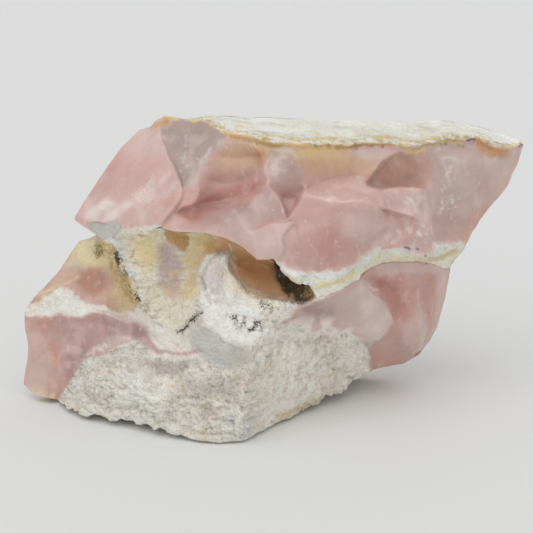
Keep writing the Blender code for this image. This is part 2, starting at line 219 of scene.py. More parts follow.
RIGHT_LIGHT_BAND = ((440, 150, 4), (460, 158, 6), (480, 162, 8), (500, 158, 9.6))
RIGHT_MIDDLE = ((440, 185, 4), (455, 186, 5.6), (470, 188, 7.4), (490, 186, 9.4))
SALMON_EDGE = (
    (487, 201, 10, 10.3), (475, 209, 8.5, 9.1), (466, 219, 7.4, 8.1), (456, 226, 6, 6.7), (447, 234, 4.6, 5),
)
# Small scars: the outline, and how far it is sunk in and how wide its border is, in millimetres.
CHEEK_CHIP = (153, 176, 155, 190, 153, 203, 145, 204, 139, 201, 133, 196, 142, 187)
COLUMN_SLOT = (421, 203, 424, 211, 424, 218, 420, 219, 416, 217, 418, 209)
UPPER_SCARS = ((CHEEK_CHIP, 0.35, 0.25), (COLUMN_SLOT, 0.6, 0.25))

# ---- the lower block, drawn on the sheet ------------------------------------------------------
LOWER_TOP = (
    (24, 312, 8), (31, 302, 8.5), (40, 291, 9), (50, 281, 9), (58, 272, 9), (65, 262, 9), (72, 252, 8.6),
    (80, 240, 8), (90, 238, 7), (96, 235, 6), (104, 226, 8), (120, 215, 10), (140, 205, 12.5), (160, 201, 14),
    (200, 200, 14), (300, 200, 14), (400, 200, 14), (436, 203, 13), (446, 215, 11.5), (449, 235, 10),
    (449, 255, 9.5), (450, 267, 9),
)
LOWER_FOOT = (
    (24, 384, 6.6), (33, 394, 3.8), (40, 397, 3), (57, 400, 1.8), (66, 407, -1.8), (80, 413, -5.2),
    (100, 416.5, -7.6), (120, 419.5, -9.2), (132, 421.5, -10.2), (145, 425, -12), (160, 430, -13.8),
    (175, 434, -15), (200, 441, -16.8), (220, 443, -17.3), (245, 440, -16.4), (260, 431, -12.6),
    (272, 425, -9.8), (281, 420, -7.5), (292, 416, -5.6), (300, 411, -3.4), (308, 405.5, -1.8),
    (318, 401, -0.6), (326, 396, 0.8), (340, 391, 2.6), (347, 386, 3.6), (352, 378, 4.4), (360, 376, 5.2),
    (371, 370, 6.6), (390, 366, 7.6), (403, 364, 8), (410, 360, 8.2), (420, 354, 8.6), (425, 347, 9),
    (430, 340, 9), (437, 327, 8.4), (443, 305, 7.6), (447, 288, 7.4), (449, 277, 8), (450, 271, 9),
)
HIDDEN_TOP = (
    (112, 222, 6), (140, 219, 7), (162, 217, 9), (200, 222, 9), (240, 222, 8), (280, 222, 7), (320, 224, 5),
    (360, 224, 5), (400, 224, 7), (430, 222, 9),
)
HIDDEN_RIGHT = ((322, 276, -4), (345, 262, -3), (365, 256, -2), (385, 250, 0.5), (410, 245, 4), (440, 242, 8))
BOWL_BROW = (
    (104, 239.5, 0.9), (112, 237, -0.7), (120, 235, -1.8), (137, 232, -3.3), (150, 230, -4.5),
    (158, 228, -5.3),
)
# Where the left end is drawn in, in sheet units: how far, how far down the sheet, over what spread,
# and how far to the right it reaches.
LEFT_PINCH = (4.0, 350.0, 20.0, 30.0)
PLATE_EDGE = (
    (142, 306, -4.9, -4.3), (137, 301, -4.7, -3.6), (131, 290, -4, -2.3), (126, 281, -3.4, -1.4),
    (121, 272, -2.8, -0.6), (116, 262, -2, 0.3), (111, 252, -0.8, 1.4), (105, 243, 0.8, 2.4),
    (100, 239, 2.2, 3.2),
)
PLATE_FOOT = ((146, 309, -4.6), (152, 315, -5.2), (158, 323, -6.2), (172, 333, -8.2), (190, 337, -10.2))
PLATE_BACK = (
    (121, 241, -1.6), (128, 254, -2.2), (136, 266, -3), (144, 280, -3.8), (150, 295, -4.6), (158, 310, -5.4),
)
BOWL_LEFT = (
    (133, 240, -2.4), (141, 255, -2.9), (148, 270, -3.2), (155, 285, -3.8), (161, 300, -4.8),
    (168, 315, -6.2),
)
BOWL_VALLEY = (
    (163, 236, -3.4), (167, 250, -2.8), (170, 265, -2.6), (172, 280, -3), (177, 295, -4.2), (182, 310, -6.4),
)
BOWL_POCKET = ((168, 238, -3.8), (176, 242, -3.2), (184, 247, -3.6), (187, 238, -3.4))
BOWL_ROOF = (
    (146, 230, -2.9), (152, 229, -3.9), (157, 228, -5.2), (162, 226.5, -6), (170, 228, -6.3),
    (180, 229.8, -6.6), (192, 231, -6.8), (204, 231.5, -6.9), (214, 233.5, -6.6), (224, 237, -6),
    (234, 242, -5.2), (246, 250.5, -4.2), (256, 258, -3.6), (266, 259, -3.6), (276, 262.5, -4.4),
)
BOWL_RIGHT = (
    (200, 240, -4.4), (206, 250, -4.6), (199, 262, -4.2), (195, 275, -4.3), (192, 290, -5.2),
    (189, 303, -6.8),
)
HORN_EDGE = (
    (196, 309, -9.2, -8.2), (200, 298, -8.9, -6.6), (201, 288, -8.5, -5.6), (203, 277, -8.1, -5),
    (206, 268, -7.7, -4.8), (209, 263, -7.4, -4.8), (212, 260, -7.3, -4.8), (215, 258.5, -7.2, -4.6),
    (219, 256, -7, -4.4), (223, 256.5, -6.9, -3.8), (226, 254, -6.8, -3.2), (229, 255.5, -6.8, -2.6),
    (228, 260, -6.8, -2.4), (229, 265, -7, -2.6), (231, 270, -7.3, -3), (236, 279, -7.8, -4),
    (243, 288, -8.5, -5.8), (250, 296, -9.3, -8.2), (257, 303, -10.1, -9.8),
)
HORN_MIDDLE = ((221, 262, -7.2), (216, 275, -8.6), (214, 290, -9.6), (222, 280, -8.5), (236, 295, -9.6))
HOLE_BACK = ((238, 262, -1.2), (250, 262, -0.6), (262, 264, -1), (275, 272, -2.4), (286, 283, -3.8))
HOLE_SLOPE = ((246, 281, -3.6), (256, 287, -4.6), (268, 292, -5.4), (280, 294, -5.8))
HOLE_LIP = (
    (259, 300, -9.9, -9), (268, 299, -9.7, -7.4), (279, 299.5, -9.7, -7), (290, 303, -9.9, -7.2),
    (301, 304.5, -9.9, -7.6), (310, 301, -10, -8), (314, 294, -10.2, -8.8), (311, 287, -10.4, -9),
)
WHITE_TOP = ((203, 309, -9.6), (215, 303, -9.9), (232, 301, -9.9), (247, 306, -10.4), (256, 312, -11))
WHITE_MIDDLE = ((262, 314, -11.2), (275, 309, -10.8), (288, 306, -10.3))
PROW_CREST = (
    (198, 316, -10), (205, 322, -11), (212, 329, -12.1), (220, 336, -13.4), (229, 342.5, -14.8),
    (238, 346, -15.8), (250, 345.5, -16.2), (258, 341, -15.4), (264, 332, -13.8), (268, 322, -12.2),
)
PROW_NOSE = ((252, 352, -16.9), (252, 370, -17.5), (247, 390, -18), (242, 410, -18), (238, 430, -17.4))
GREY_FACE = ((200, 345, -12.4), (205, 360, -13.3), (214, 372, -14.6), (222, 392, -15.6))
RIM_BACK = (
    (32, 301, 8), (45, 292, 7.4), (60, 287, 6.2), (75, 291, 4.4), (88, 300, 2.5), (100, 307, 0.8),
    (115, 314, -0.9), (128, 318, -2.3),
)
RIM_FRONT = (
    (26, 315, 6.8), (40, 318, 4.9), (60, 316, 2.5), (80, 318, 0.6), (95, 311, -0.7), (108, 314, -1.8),
    (122, 320, -3), (134, 327, -4.1), (145, 336, -5.4), (152, 345, -6.6), (165, 352, -8.4),
    (185, 353.5, -10.9), (205, 350, -12.9), (216, 345, -13.8),
)
SIDE_UPPER = (
    (40, 324, 5.3), (60, 323, 3.1), (80, 325, 1.2), (95, 322, -0.2), (108, 324, -1.3), (120, 329, -2.4),
)
SIDE_CORNER = ((40, 325, 5.2), (45, 340, 4.6), (47, 360, 4.2), (48, 380, 4.2), (50, 396, 4.3))
CHALK_EDGE = (
    (57, 401, 4.2, 4.5), (64, 392, 2.6, 3.3), (70, 384, 1.6, 2.4), (78, 372, 0.2, 1), (88, 359, -1.3, -0.5),
    (100, 354, -2.6, -1.8), (115, 345, -3.9, -3.1), (128, 338, -4.8, -4.2), (138, 335, -5.2, -4.9),
)
CHALK_BELLY = ((90, 385, -4.6), (120, 385, -8.4), (150, 388, -11.6), (180, 392, -14.4), (205, 398, -16))
WEDGE_HOLLOW = ((84, 258, 6), (92, 270, 4.6), (98, 282, 3.4), (100, 293, 2.2))
WEDGE_LEFT = ((60, 280, 7.4), (74, 277, 6), (82, 288, 4.6))
WEDGE_RIGHT = ((104, 252, 3.6), (110, 268, 2), (116, 284, 0.6), (120, 300, -0.8))
RIGHT_CHALK_HIGH = (
    (264, 338, -14), (275, 336, -11.9), (290, 340, -9.3), (310, 345, -6), (330, 348, -3), (350, 350, -0.6),
    (363, 350, 0.6),
)
RIGHT_CHALK_LOW = (
    (258, 385, -15.4), (280, 387, -10), (300, 386, -5.8), (320, 383, -2), (340, 378, 1.6), (352, 373, 3.4),
)
CHALK_CREST = (
    (270, 321, -12), (284, 315, -11), (294, 318, -9.8), (304, 323, -8.6), (320, 325, -6.9), (336, 326, -5.2),
    (348, 333, -3.2), (357, 339, -1.6),
)
CHALK_END = (
    (358, 339, -1.4, -1), (366, 346, 0.4, 1.6), (369, 355, 2, 3.6), (370, 363, 3.6, 5), (371, 369, 5.6, 6.4),
)
PLATE_UNDER_SEAM = (
    (300, 306.5, -10.3), (312, 303.5, -10.4), (328, 297.2, -10.2), (340, 292.2, -9.4), (351, 287, -8.4),
    (359, 282, -7.3),
)
SHELL_EDGE = (
    (363, 279, -5.6, -5.2), (368, 287, -4.8, -3.4), (374, 294, -3.8, -1.8), (381, 299, -2.7, -0.6),
    (387, 308, -1.5, 0.7), (392, 317, -0.7, 1.6), (391, 326, -0.5, 1.6), (386, 334, -0.6, 1.4),
    (378, 341, -0.5, 1.4), (368, 347, 0.1, 1.6),
)
PLATE_MIDDLE = ((320, 316, -7.6), (342, 314, -5.8), (362, 312, -4), (378, 318, -2.2))
RIGHT_UNDER_SEAM = (
    (364, 276, -6.2), (370, 268.5, -4.9), (385, 264, -2.9), (400, 262.6, -1.4), (420, 263.6, 1.5),
    (438, 267.4, 5.2),
)
RIGHT_HOLLOW = ((378, 283, -0.4), (392, 288, 1), (400, 302, 1.8), (402, 318, 2))
LOBE_RIDGE = ((411, 296, 2.6), (415, 310, 2.4), (418, 324, 2.6), (420, 336, 3.6), (420, 346, 5.6))
LOBE_FOOT = ((374, 351, 3), (388, 344, 2.4), (402, 342, 2.8), (412, 348, 4.2))
RIGHT_STRIP = ((433, 285, 5.7), (433, 305, 5.9), (431, 325, 6.6))
STREAK_CRACK = (
    203, 312, 204, 315, 197, 319, 191, 325, 184, 334, 177, 335, 176, 331, 183, 327, 190, 319, 197, 313,
)
FACE_CRACK = (221, 338, 226, 341, 232, 345, 231, 346, 224, 343, 220, 340)
HORN_CRACK = (202, 279, 206, 286, 207, 290, 204, 292, 202, 286)
VIOLET_DENT = (296, 303, 315, 304, 335, 304, 334, 315, 322, 322, 304, 320)
LOWER_SCARS = (
    (STREAK_CRACK, 0.9, 0.3), (FACE_CRACK, 0.4, 0.2), (HORN_CRACK, 0.6, 0.2), (VIOLET_DENT, 0.35, 0.5),
)

# Where black grains lie: the outline, how many, and their smallest and largest radius in millimetres.
GRAIN_PATCHES = (
    ((276, 262, 284, 266, 293, 277, 306, 283, 307, 290, 299, 297, 288, 296, 281, 288, 278, 276), 1150, 0.05,
        0.22),
    ((296, 288, 310, 286, 311, 297, 302, 302, 292, 300), 160, 0.04, 0.14),
    ((228, 314, 246, 316, 262, 320, 267, 333, 254, 337, 238, 330), 480, 0.03, 0.11),
    ((248, 322, 262, 320, 267, 333, 256, 338, 246, 333), 220, 0.03, 0.12),
    ((256, 297, 272, 298, 286, 303, 274, 316, 260, 313), 260, 0.03, 0.11),
    ((110, 245, 118, 250, 132, 276, 142, 302, 136, 301, 121, 276), 340, 0.05, 0.15),
    ((92, 244, 103, 243, 106, 256, 95, 258), 90, 0.04, 0.11),
    ((204, 310, 206, 314, 192, 326, 180, 335, 175, 333, 186, 323, 196, 312), 220, 0.05, 0.16),
)
CRUMB_COUNT = 2800
CRUMB_SIZES = (0.08, 0.30)
# Small lumps are mostly small: the random share of the size range is raised to this power.
SIZE_POWER = 2.5
# A lump's corners lie between these shares of its radius, and it is pressed flat by this share.
LUMP_DENTS = (0.6, 1.2)
LUMP_PRESS = 0.45
# How far a grain strays in millimetres, a crumb sinks in radii, and its colour's factor varies.
GRAIN_JITTER = 0.1
CRUMB_SINK = 0.3
CRUMB_SHADES = (0.92, 1.06)
# Seeds of the throws that place the lumps, and of those that shape them.
GRAIN_SEEDS = (11, 12)
CRUMB_SEEDS = (21, 22)

# Flat faces by which the sight lines leave each block: a point on the face and its outward direction.
UPPER_BACKS = (
    ((5, 16.5, 45), (-0.33, 0.94, 0.03)),
    ((24, 22.5, 36), (0.10, 0.98, -0.12)),
    ((42, 13.5, 41.4), (0.64, 0.70, -0.493)),
    ((-20.3, 7.5, 45.2), (-0.77, 0.46, 0.44)),
)
LOWER_BACKS = (
    ((5, 18, 15), (-0.25, 0.96, -0.10)),
    ((18, 18.5, 15), (0.35, 0.92, -0.15)),
    ((-5, 17.5, 27), (-0.15, 0.80, 0.58)),
    ((-39.5, 7, 9), (-0.985, 0.17, 0.02)),
    ((-38.6, 5, 1.8), (-0.60, -0.20, -0.78)),
    ((-33.5, 8.2, 22), (-0.62, 0.55, 0.60)),
    ((28.8, 6, 19), (0.92, 0.35, -0.22)),
    ((17.3, 6.6, 3.6), (0.44, -0.28, -0.85)),
    ((0, 0, 0), (0, 0, -1)),
)


# ---- small tools for shapes -------------------------------------------------------------------
def unit(direction):
    """The direction as a vector of length one."""
    vector = np.array(direction, float)
    return vector / np.linalg.norm(vector)


def ramp(values, low, high):
    """0 below low, 1 above high, and an S-shaped rise between them."""
    share = np.clip((values - low) / (high - low), 0.0, 1.0)
    return share * share * (3.0 - 2.0 * share)


def waves(points, size, seed):
    """A smooth wandering value near -1 to 1: six sine waves in fixed, scattered directions.

    Each wave is 0.7 to 1.3 times the given size long, and a third of their sum is taken.
    """
    dice = np.random.RandomState(seed)
    total = np.zeros(len(points))
    for _ in range(6):
        heading = unit(dice.normal(size=3)) * 2.0 * np.pi / (size * (0.7 + 0.6 * dice.rand()))
        total += np.sin(points @ heading + dice.rand() * 2.0 * np.pi)
    return total / 3.0


# Large odd factors that scatter the numbers of neighbouring cells.
CELL_FACTORS = (374761393, 668265263, 2147483647)
SEED_FACTOR = 144665
MIXING_STEPS = ((13, 1274126177), (16, 2246822519))


def dice_throw(cells, seed):
    """A fixed pseudo-random number from 0 to 1 for each whole-numbered cell."""
    mixed = sum(cells[..., axis] * factor for axis, factor in enumerate(CELL_FACTORS))
    mixed = (mixed + seed * SEED_FACTOR) & 0xFFFFFFFF
    for shift, factor in MIXING_STEPS:
        mixed = ((mixed ^ (mixed >> shift)) * factor) & 0xFFFFFFFF
    return ((mixed ^ (mixed >> 15)) & 0xFFFFFF) / float(0xFFFFFF)


def grain(points, size, seed):
    """Lattice noise from -1 to 1: random values at the corners of cubes, smoothly blended inside."""
    place = points / size
    corner = np.floor(place).astype(np.int64)
    part = place - corner
    part = part * part * (3.0 - 2.0 * part)
    total = np.zeros(len(points))
    for step in np.ndindex(2, 2, 2):
        share = np.prod(np.where(np.array(step) == 1, part, 1.0 - part), axis=1)
        total += share * dice_throw(corner + np.array(step), seed)
    return 2.0 * total - 1.0


def rough(points, size, seed, octaves=3):
    """Lattice noise of several sizes, each half as large and half as strong as the one before."""
    total = np.zeros(len(points))
    for octave in range(octaves):
        total += grain(points, size * 0.5**octave, seed + octave) * 0.5**octave
    return total


def flakes(points, size, seed):
    """Broken scale-like facets: each point takes a tilted plane from the nearest scattered seed.

    Gives the tilt value of the nearest seed, and how far the point is inside that seed's cell.
    """
    place = points / size
    home = np.floor(place).astype(np.int64)
    nearest = np.full(len(points), FAR_AWAY)
    second = np.full(len(points), FAR_AWAY)
    tilt = np.zeros(len(points))
    for step in np.ndindex(3, 3, 3):
        cell = home + np.array(step) - 1
        throws = [dice_throw(cell, seed + number) for number in range(7)]
        arm = place - cell - np.stack(throws[:3], axis=1)
        gap = np.einsum("ij,ij->i", arm, arm)
        lean = np.stack(throws[3:6], axis=1) - 0.5
        lift = throws[6] - 0.5
        closer = gap < nearest
        second = np.where(closer, nearest, np.minimum(second, gap))
        tilt = np.where(closer, np.einsum("ij,ij->i", arm, lean) + 0.3 * lift, tilt)
        nearest = np.where(closer, gap, nearest)
    return tilt, np.sqrt(second) - np.sqrt(nearest)


# ---- the drawing sheet ------------------------------------------------------------------------
def sheet_axes():
    """The drawing point and the sheet's right, up and away directions."""
    tilt = np.radians(LOOK_UP_DEGREES)
    away = np.array((0.0, np.cos(tilt), -np.sin(tilt)))
    right = np.array((1.0, 0.0, 0.0))
    return np.array(LOOK_AT) - away * LOOK_DISTANCE, right, np.cross(right, away), away


def sight_ways(sheet):
    """The sight line's direction for each place on the sheet."""
    _, right, up, away = sheet_axes()
    across = (sheet[..., 0] - SHEET_MIDDLE) * SHEET_UNIT
    rise = (SHEET_MIDDLE - sheet[..., 1]) * SHEET_UNIT
    return away * LOOK_DISTANCE + across[..., None] * right + rise[..., None] * up


def at_depth(sheet, depth):
    """Points in millimetres on the sight lines of these sheet places, at these depths."""
    eye = sheet_axes()[0]
    way = sight_ways(sheet)
    return eye + way * ((depth - eye[1]) / way[..., 1])[..., None]


def exit_depth(sheet, faces):
    """The depth at which each sight line first leaves through one of the flat faces."""
    eye = sheet_axes()[0]
    way = sight_ways(sheet)
    found = np.full(way.shape[:-1], FAR_AWAY)
    for place, direction in faces:
        outward_way = unit(direction)
        leaving = way @ outward_way
        reach = ((np.array(place) - eye) @ outward_way) / np.where(leaving > 0.5, leaving, 1.0)
        depth = eye[1] + reach * way[..., 1]
        found = np.where(leaving > 0.5, np.minimum(found, depth), found)
    return found


def in_pairs(numbers):
    """Places on the sheet, from numbers that go across and down in turn."""
    return np.array(numbers, float).reshape(-1, 2)


def run_gap(sheet, first, last):
    """Squared distance in sheet units from one straight run."""
    edge = last - first
    arm = sheet - first
    share = np.clip(arm @ edge / (edge @ edge), 0.0, 1.0)
    return np.sum((arm - share[:, None] * edge) ** 2, axis=1)


def outline(sheet, corners):
    """Signed distance in sheet units from a closed outline, negative inside."""
    corners = in_pairs(corners)
    nearest = np.full(len(sheet), 1e9)
    inside = np.zeros(len(sheet), bool)
    for first, last in zip(corners, np.roll(corners, -1, axis=0)):
        edge = last - first
        nearest = np.minimum(nearest, run_gap(sheet, first, last))
        crosses = (first[1] > sheet[:, 1]) != (last[1] > sheet[:, 1])
        rise = np.where(edge[1] == 0.0, 1e-9, edge[1])
        inside ^= crosses & (sheet[:, 0] < first[0] + edge[0] * (sheet[:, 1] - first[1]) / rise)
    return np.where(inside, -1.0, 1.0) * np.sqrt(nearest)


def stroke(sheet, route):
    """Distance in sheet units from a line of straight runs."""
    route = in_pairs(route)
    nearest = np.full(len(sheet), 1e9)
    for first, last in zip(route[:-1], route[1:]):
        nearest = np.minimum(nearest, run_gap(sheet, first, last))
    return np.sqrt(nearest)


def along(line):
    """Evenly spaced samples of a drawn line, with all its values, and the way it runs at each."""
    line = np.array(line, float)
    runs = np.linalg.norm(np.diff(line[:, :2], axis=0), axis=1)
    reach = np.concatenate([[0.0], np.cumsum(runs)])
    places = np.linspace(0.0, reach[-1], max(int(reach[-1] / LINE_SPACING), 2))
    samples = np.stack([np.interp(places, reach, column) for column in line.T], axis=1)
    way = np.gradient(samples[:, :2], axis=0)
    return samples, way / np.linalg.norm(way, axis=1, keepdims=True)


def drawn_depths(folds, steps):
    """All samples of fold lines and of both sides of step lines, as rows of across, down and depth."""
    rows = [along(line)[0] for line in folds]
    for line in steps:
        samples, way = along(line)
        aside = STEP_HALF * np.stack([-way[:, 1], way[:, 0]], axis=1)
        rows.append(np.column_stack([samples[:, :2] + aside, samples[:, 2]]))
        rows.append(np.column_stack([samples[:, :2] - aside, samples[:, 3]]))
    return np.concatenate(rows)


def blended(grid, down, across):
    """The grid's value at places between its cells, blended from the four nearest cells."""
    row = np.minimum(down.astype(int), grid.shape[0] - 2)
    column = np.minimum(across.astype(int), grid.shape[1] - 2)
    part_down, part_across = down - row, across - column
    upper = grid[row, column] * (1 - part_across) + grid[row, column + 1] * part_across
    lower = grid[row + 1, column] * (1 - part_across) + grid[row + 1, column + 1] * part_across
    return upper * (1 - part_down) + lower * part_down


def stretched(grid, shape):
    """The grid resampled to another shape, with its corners kept."""
    down = np.linspace(0, grid.shape[0] - 1, shape[0])[:, None]
    across = np.linspace(0, grid.shape[1] - 1, shape[1])[None, :]
    return blended(grid, down, across)


def four_mean(grid):
    """The mean of each cell's four neighbours; the rim repeats itself."""
    wide = np.pad(grid, 1, mode="edge")
    return 0.25 * (wide[:-2, 1:-1] + wide[2:, 1:-1] + wide[1:-1, :-2] + wide[1:-1, 2:])


def stretched_skin(rows, corner, size):
    """Depths all over the sheet, stretched between the drawn lines like a soap film.

    The film is settled on a coarse raster first and then on finer ones: each free cell takes the
    mean of its four neighbours again and again, and cells under a drawn line keep their depth.
    """
    film = None
    for cell in SHEET_CELLS:
        shape = (size[1] // cell + 1, size[0] // cell + 1)
        row = np.clip(np.rint((rows[:, 1] - corner[1]) / cell).astype(int), 0, shape[0] - 1)
        column = np.clip(np.rint((rows[:, 0] - corner[0]) / cell).astype(int), 0, shape[1] - 1)
        place = row * shape[1] + column
        count = np.bincount(place, minlength=shape[0] * shape[1])
        total = np.bincount(place, rows[:, 2], shape[0] * shape[1])
        held = (count > 0).reshape(shape)
        value = (total / np.maximum(count, 1)).reshape(shape)
        film = np.full(shape, rows[:, 2].mean()) if film is None else stretched(film, shape)
        for _ in range(SETTLE_ROUNDS):
            film = np.where(held, value, film)
            film = 0.1 * film + 0.9 * four_mean(film)
        film = np.where(held, value, film)
    for _ in range(SMOOTH_ROUNDS):
        film = 0.5 * film + 0.5 * four_mean(film)
    return film


def sampled(film, corner, sheet):
    """The film's value at sheet places."""
    across = np.clip(sheet[..., 0] - corner[0], 0, film.shape[1] - 1.001)
    down = np.clip(sheet[..., 1] - corner[1], 0, film.shape[0] - 1.001)
    return blended(film, down, across)


# ---- a block as two sheets sewn together ------------------------------------------------------
def block_sheet(top, foot, cells):
    """Sheet places of a block's grid: even columns across, each with even rows from top to foot.

    Also gives how far each place is from the outline, in sheet units, up or down its column or
    across to the block's ends.
    """
    top, foot = np.array(top, float), np.array(foot, float)
    across = np.linspace(top[0, 0], top[-1, 0], cells[0] + 1)
    high = np.interp(across, top[:, 0], top[:, 1])
    low = np.interp(across, foot[:, 0], foot[:, 1])
    share = np.linspace(0.0, 1.0, cells[1] + 1)[:, None]
    down = high + (low - high) * share
    sheet = np.stack([np.broadcast_to(across, down.shape), down], axis=-1)
    room = np.minimum(down - high, low - down)
    sides = np.minimum(across - across[0], across[-1] - across)
    return sheet, np.minimum(room, np.broadcast_to(sides, room.shape))


def quad_corners(grid, order):
    """The values at the four corners of each quad of a grid, taken in the given order."""
    corners = (grid[:-1, :-1], grid[1:, :-1], grid[1:, 1:], grid[:-1, 1:])
    return np.stack([corners[number] for number in order], axis=2)


def sewn_faces(shape):
    """The quads of a front grid and of a back grid that share their rim, as rows of point numbers."""
    front = np.arange(shape[0] * shape[1]).reshape(shape)
    back = front.copy()
    inner = (shape[0] - 2) * (shape[1] - 2)
    back[1:-1, 1:-1] = front.size + np.arange(inner).reshape(shape[0] - 2, shape[1] - 2)
    ahead = quad_corners(front, FRONT_ORDER).reshape(-1, 4)
    behind = quad_corners(back, BACK_ORDER).reshape(-1, 4)
    return np.concatenate([ahead, behind])


def front_depth(sheet, top, foot, folds, steps, scars):
    """The front's depth over the sheet: the film between the drawn lines, with the scars sunk in."""
    high, low = sheet[..., 1].min(), sheet[..., 1].max()
    corner = (np.floor(top[0][0]) - SHEET_MARGIN, np.floor(high) - SHEET_MARGIN)
    size = (int(top[-1][0] - corner[0]) + SHEET_MARGIN, int(low - corner[1]) + SHEET_MARGIN)
    rows = drawn_depths((top, foot, *folds), steps)
    depth = sampled(stretched_skin(rows, corner, size), corner, sheet)
    flat_sheet = sheet.reshape(-1, 2)
    for corners, sunk, border in scars:
        inside = ramp(-outline(flat_sheet, corners) * SHEET_UNIT, -border, border)
        depth = depth + sunk * inside.reshape(depth.shape)
    return depth


def outward(points, quads):
    """Unit outward direction at each grid point.

    It is the sum of the cross products of its quads' diagonals, each cut to its length's square root.
    """
    across = points[quads[:, 2]] - points[quads[:, 0]]
    along_way = points[quads[:, 3]] - points[quads[:, 1]]
    normal = np.cross(across, along_way)
    normal /= np.maximum(np.linalg.norm(normal, axis=1, keepdims=True), 1e-9) ** 0.5
    total = np.zeros_like(points)
    for corner in range(4):
        for axis in range(3):
            total[:, axis] += np.bincount(quads[:, corner], normal[:, axis], len(points))
    return total / np.maximum(np.linalg.norm(total, axis=1, keepdims=True), 1e-12)


def hollow_wave(points):
    """A slow wandering of the back faces, so that none is quite flat."""
    return 0.6 * waves(points, 17.0, 1) + 0.3 * waves(points, 6.0, 2)


def upper_folds():
    """The upper block's single-depth lines, with the groove that follows the rind's front edge."""
    drop, back = RIND_GROOVE_DROP
    groove = tuple((across, down + drop, depth + back) for across, down, depth in RIND_EDGE[8:-1])
    return (
        RIND_EDGE, groove, CREST, DISH_WALL, DISH_LOW, DISH_FOOT, BROWN_RIDGE, POCKET, SHELF_EDGE,
        TOOTH_LEFT_RIDGE, BACK_WALL_FOOT, KNOB_LEFT, LEDGE_BACK, DOME_BROW, DOME_MIDDLE, DOME_LEFT_MIDDLE,
        DOME_RIGHT_MIDDLE, DOME_FOOT, RECESS_FOOT, SEAM_BROW, SEAM_RIGHT_BROW, NOTCH_BACK, COLUMN_FACE,
        RIGHT_LIGHT_BAND, RIGHT_MIDDLE,
    )


UPPER_STEPS = (
    CHEEK_EDGE, LOBE_EDGE, TOOTH_EDGE, KNOB_TOP, KNOB_SIDE, DOME_EDGE, DOME_RIGHT_EDGE, RECESS_BROW,
    NOTCH_SILL, NOTCH_LEFT, COLUMN_EDGE, SALMON_EDGE,
)
LOWER_FOLDS = (
    HIDDEN_TOP, HIDDEN_RIGHT, BOWL_BROW, PLATE_FOOT, PLATE_BACK, BOWL_LEFT, BOWL_VALLEY, BOWL_POCKET,
    BOWL_ROOF, BOWL_RIGHT, HORN_MIDDLE, HOLE_BACK, HOLE_SLOPE, WHITE_TOP, WHITE_MIDDLE, PROW_CREST, PROW_NOSE,
    GREY_FACE, RIM_BACK, RIM_FRONT, SIDE_UPPER, SIDE_CORNER, CHALK_BELLY, WEDGE_HOLLOW, WEDGE_LEFT,
    WEDGE_RIGHT, RIGHT_CHALK_HIGH, RIGHT_CHALK_LOW, CHALK_CREST, PLATE_UNDER_SEAM, PLATE_MIDDLE,
    RIGHT_UNDER_SEAM, RIGHT_HOLLOW, LOBE_RIDGE, LOBE_FOOT, RIGHT_STRIP,
)
LOWER_STEPS = (PLATE_EDGE, HORN_EDGE, HOLE_LIP, CHALK_EDGE, CHALK_END, SHELL_EDGE)


def sewn_block(sheet, room, front, behind):
    """One block: its points, their sheet places, its quads and its grid's shape.

    The points are the front grid's and then the inner ones of the back grid behind it.
    """
    band = np.sin(0.5 * np.pi * np.clip(room / EDGE_BAND, 0.0, 1.0))
    depth = front + np.maximum(behind - front, LEAST_THICKNESS) * band
    ahead = at_depth(sheet, front)
    rear = at_depth(sheet, depth)[1:-1, 1:-1].reshape(-1, 3)
    rear[:, 1] += hollow_wave(rear) * band[1:-1, 1:-1].ravel() * ramp(rear[:, 2], *BACK_RISE)
    points = np.concatenate([ahead.reshape(-1, 3), rear])
    places = np.concatenate([sheet.reshape(-1, 2), sheet[1:-1, 1:-1].reshape(-1, 2)])
    return points, places, sewn_faces(front.shape), front.shape


def upper_block():
    """The upper block, whose back faces end at the height of its front's foot."""
    sheet, room = block_sheet(UPPER_TOP, UPPER_FOOT, UPPER_CELLS)
    front = front_depth(sheet, UPPER_TOP, UPPER_FOOT, upper_folds(), UPPER_STEPS, UPPER_SCARS)
    eye = sheet_axes()[0]
    way = sight_ways(sheet)
    foot_height = at_depth(sheet[-1], front[-1])[:, 2]
    underside = eye[1] + way[..., 1] * (foot_height - eye[2]) / way[..., 2]
    return sewn_block(sheet, room, front, np.minimum(exit_depth(sheet, UPPER_BACKS), underside))


def lower_block():
    """The lower block, drawn in a little at the left end and resting on the ground."""
    sheet, room = block_sheet(LOWER_TOP, LOWER_FOOT, LOWER_CELLS)
    pinch, height, spread, reach = LEFT_PINCH
    nearness = ramp(sheet[..., 0] - LOWER_TOP[0][0], reach, 0.0)
    sheet[..., 0] += pinch * nearness * np.exp(-(((sheet[..., 1] - height) / spread) ** 2))
    front = front_depth(sheet, LOWER_TOP, LOWER_FOOT, LOWER_FOLDS, LOWER_STEPS, LOWER_SCARS)
    block = sewn_block(sheet, room, front, exit_depth(sheet, LOWER_BACKS))
    points = block[0]
    points[:, 2] = np.maximum(points[:, 2], 0.0)
    return block


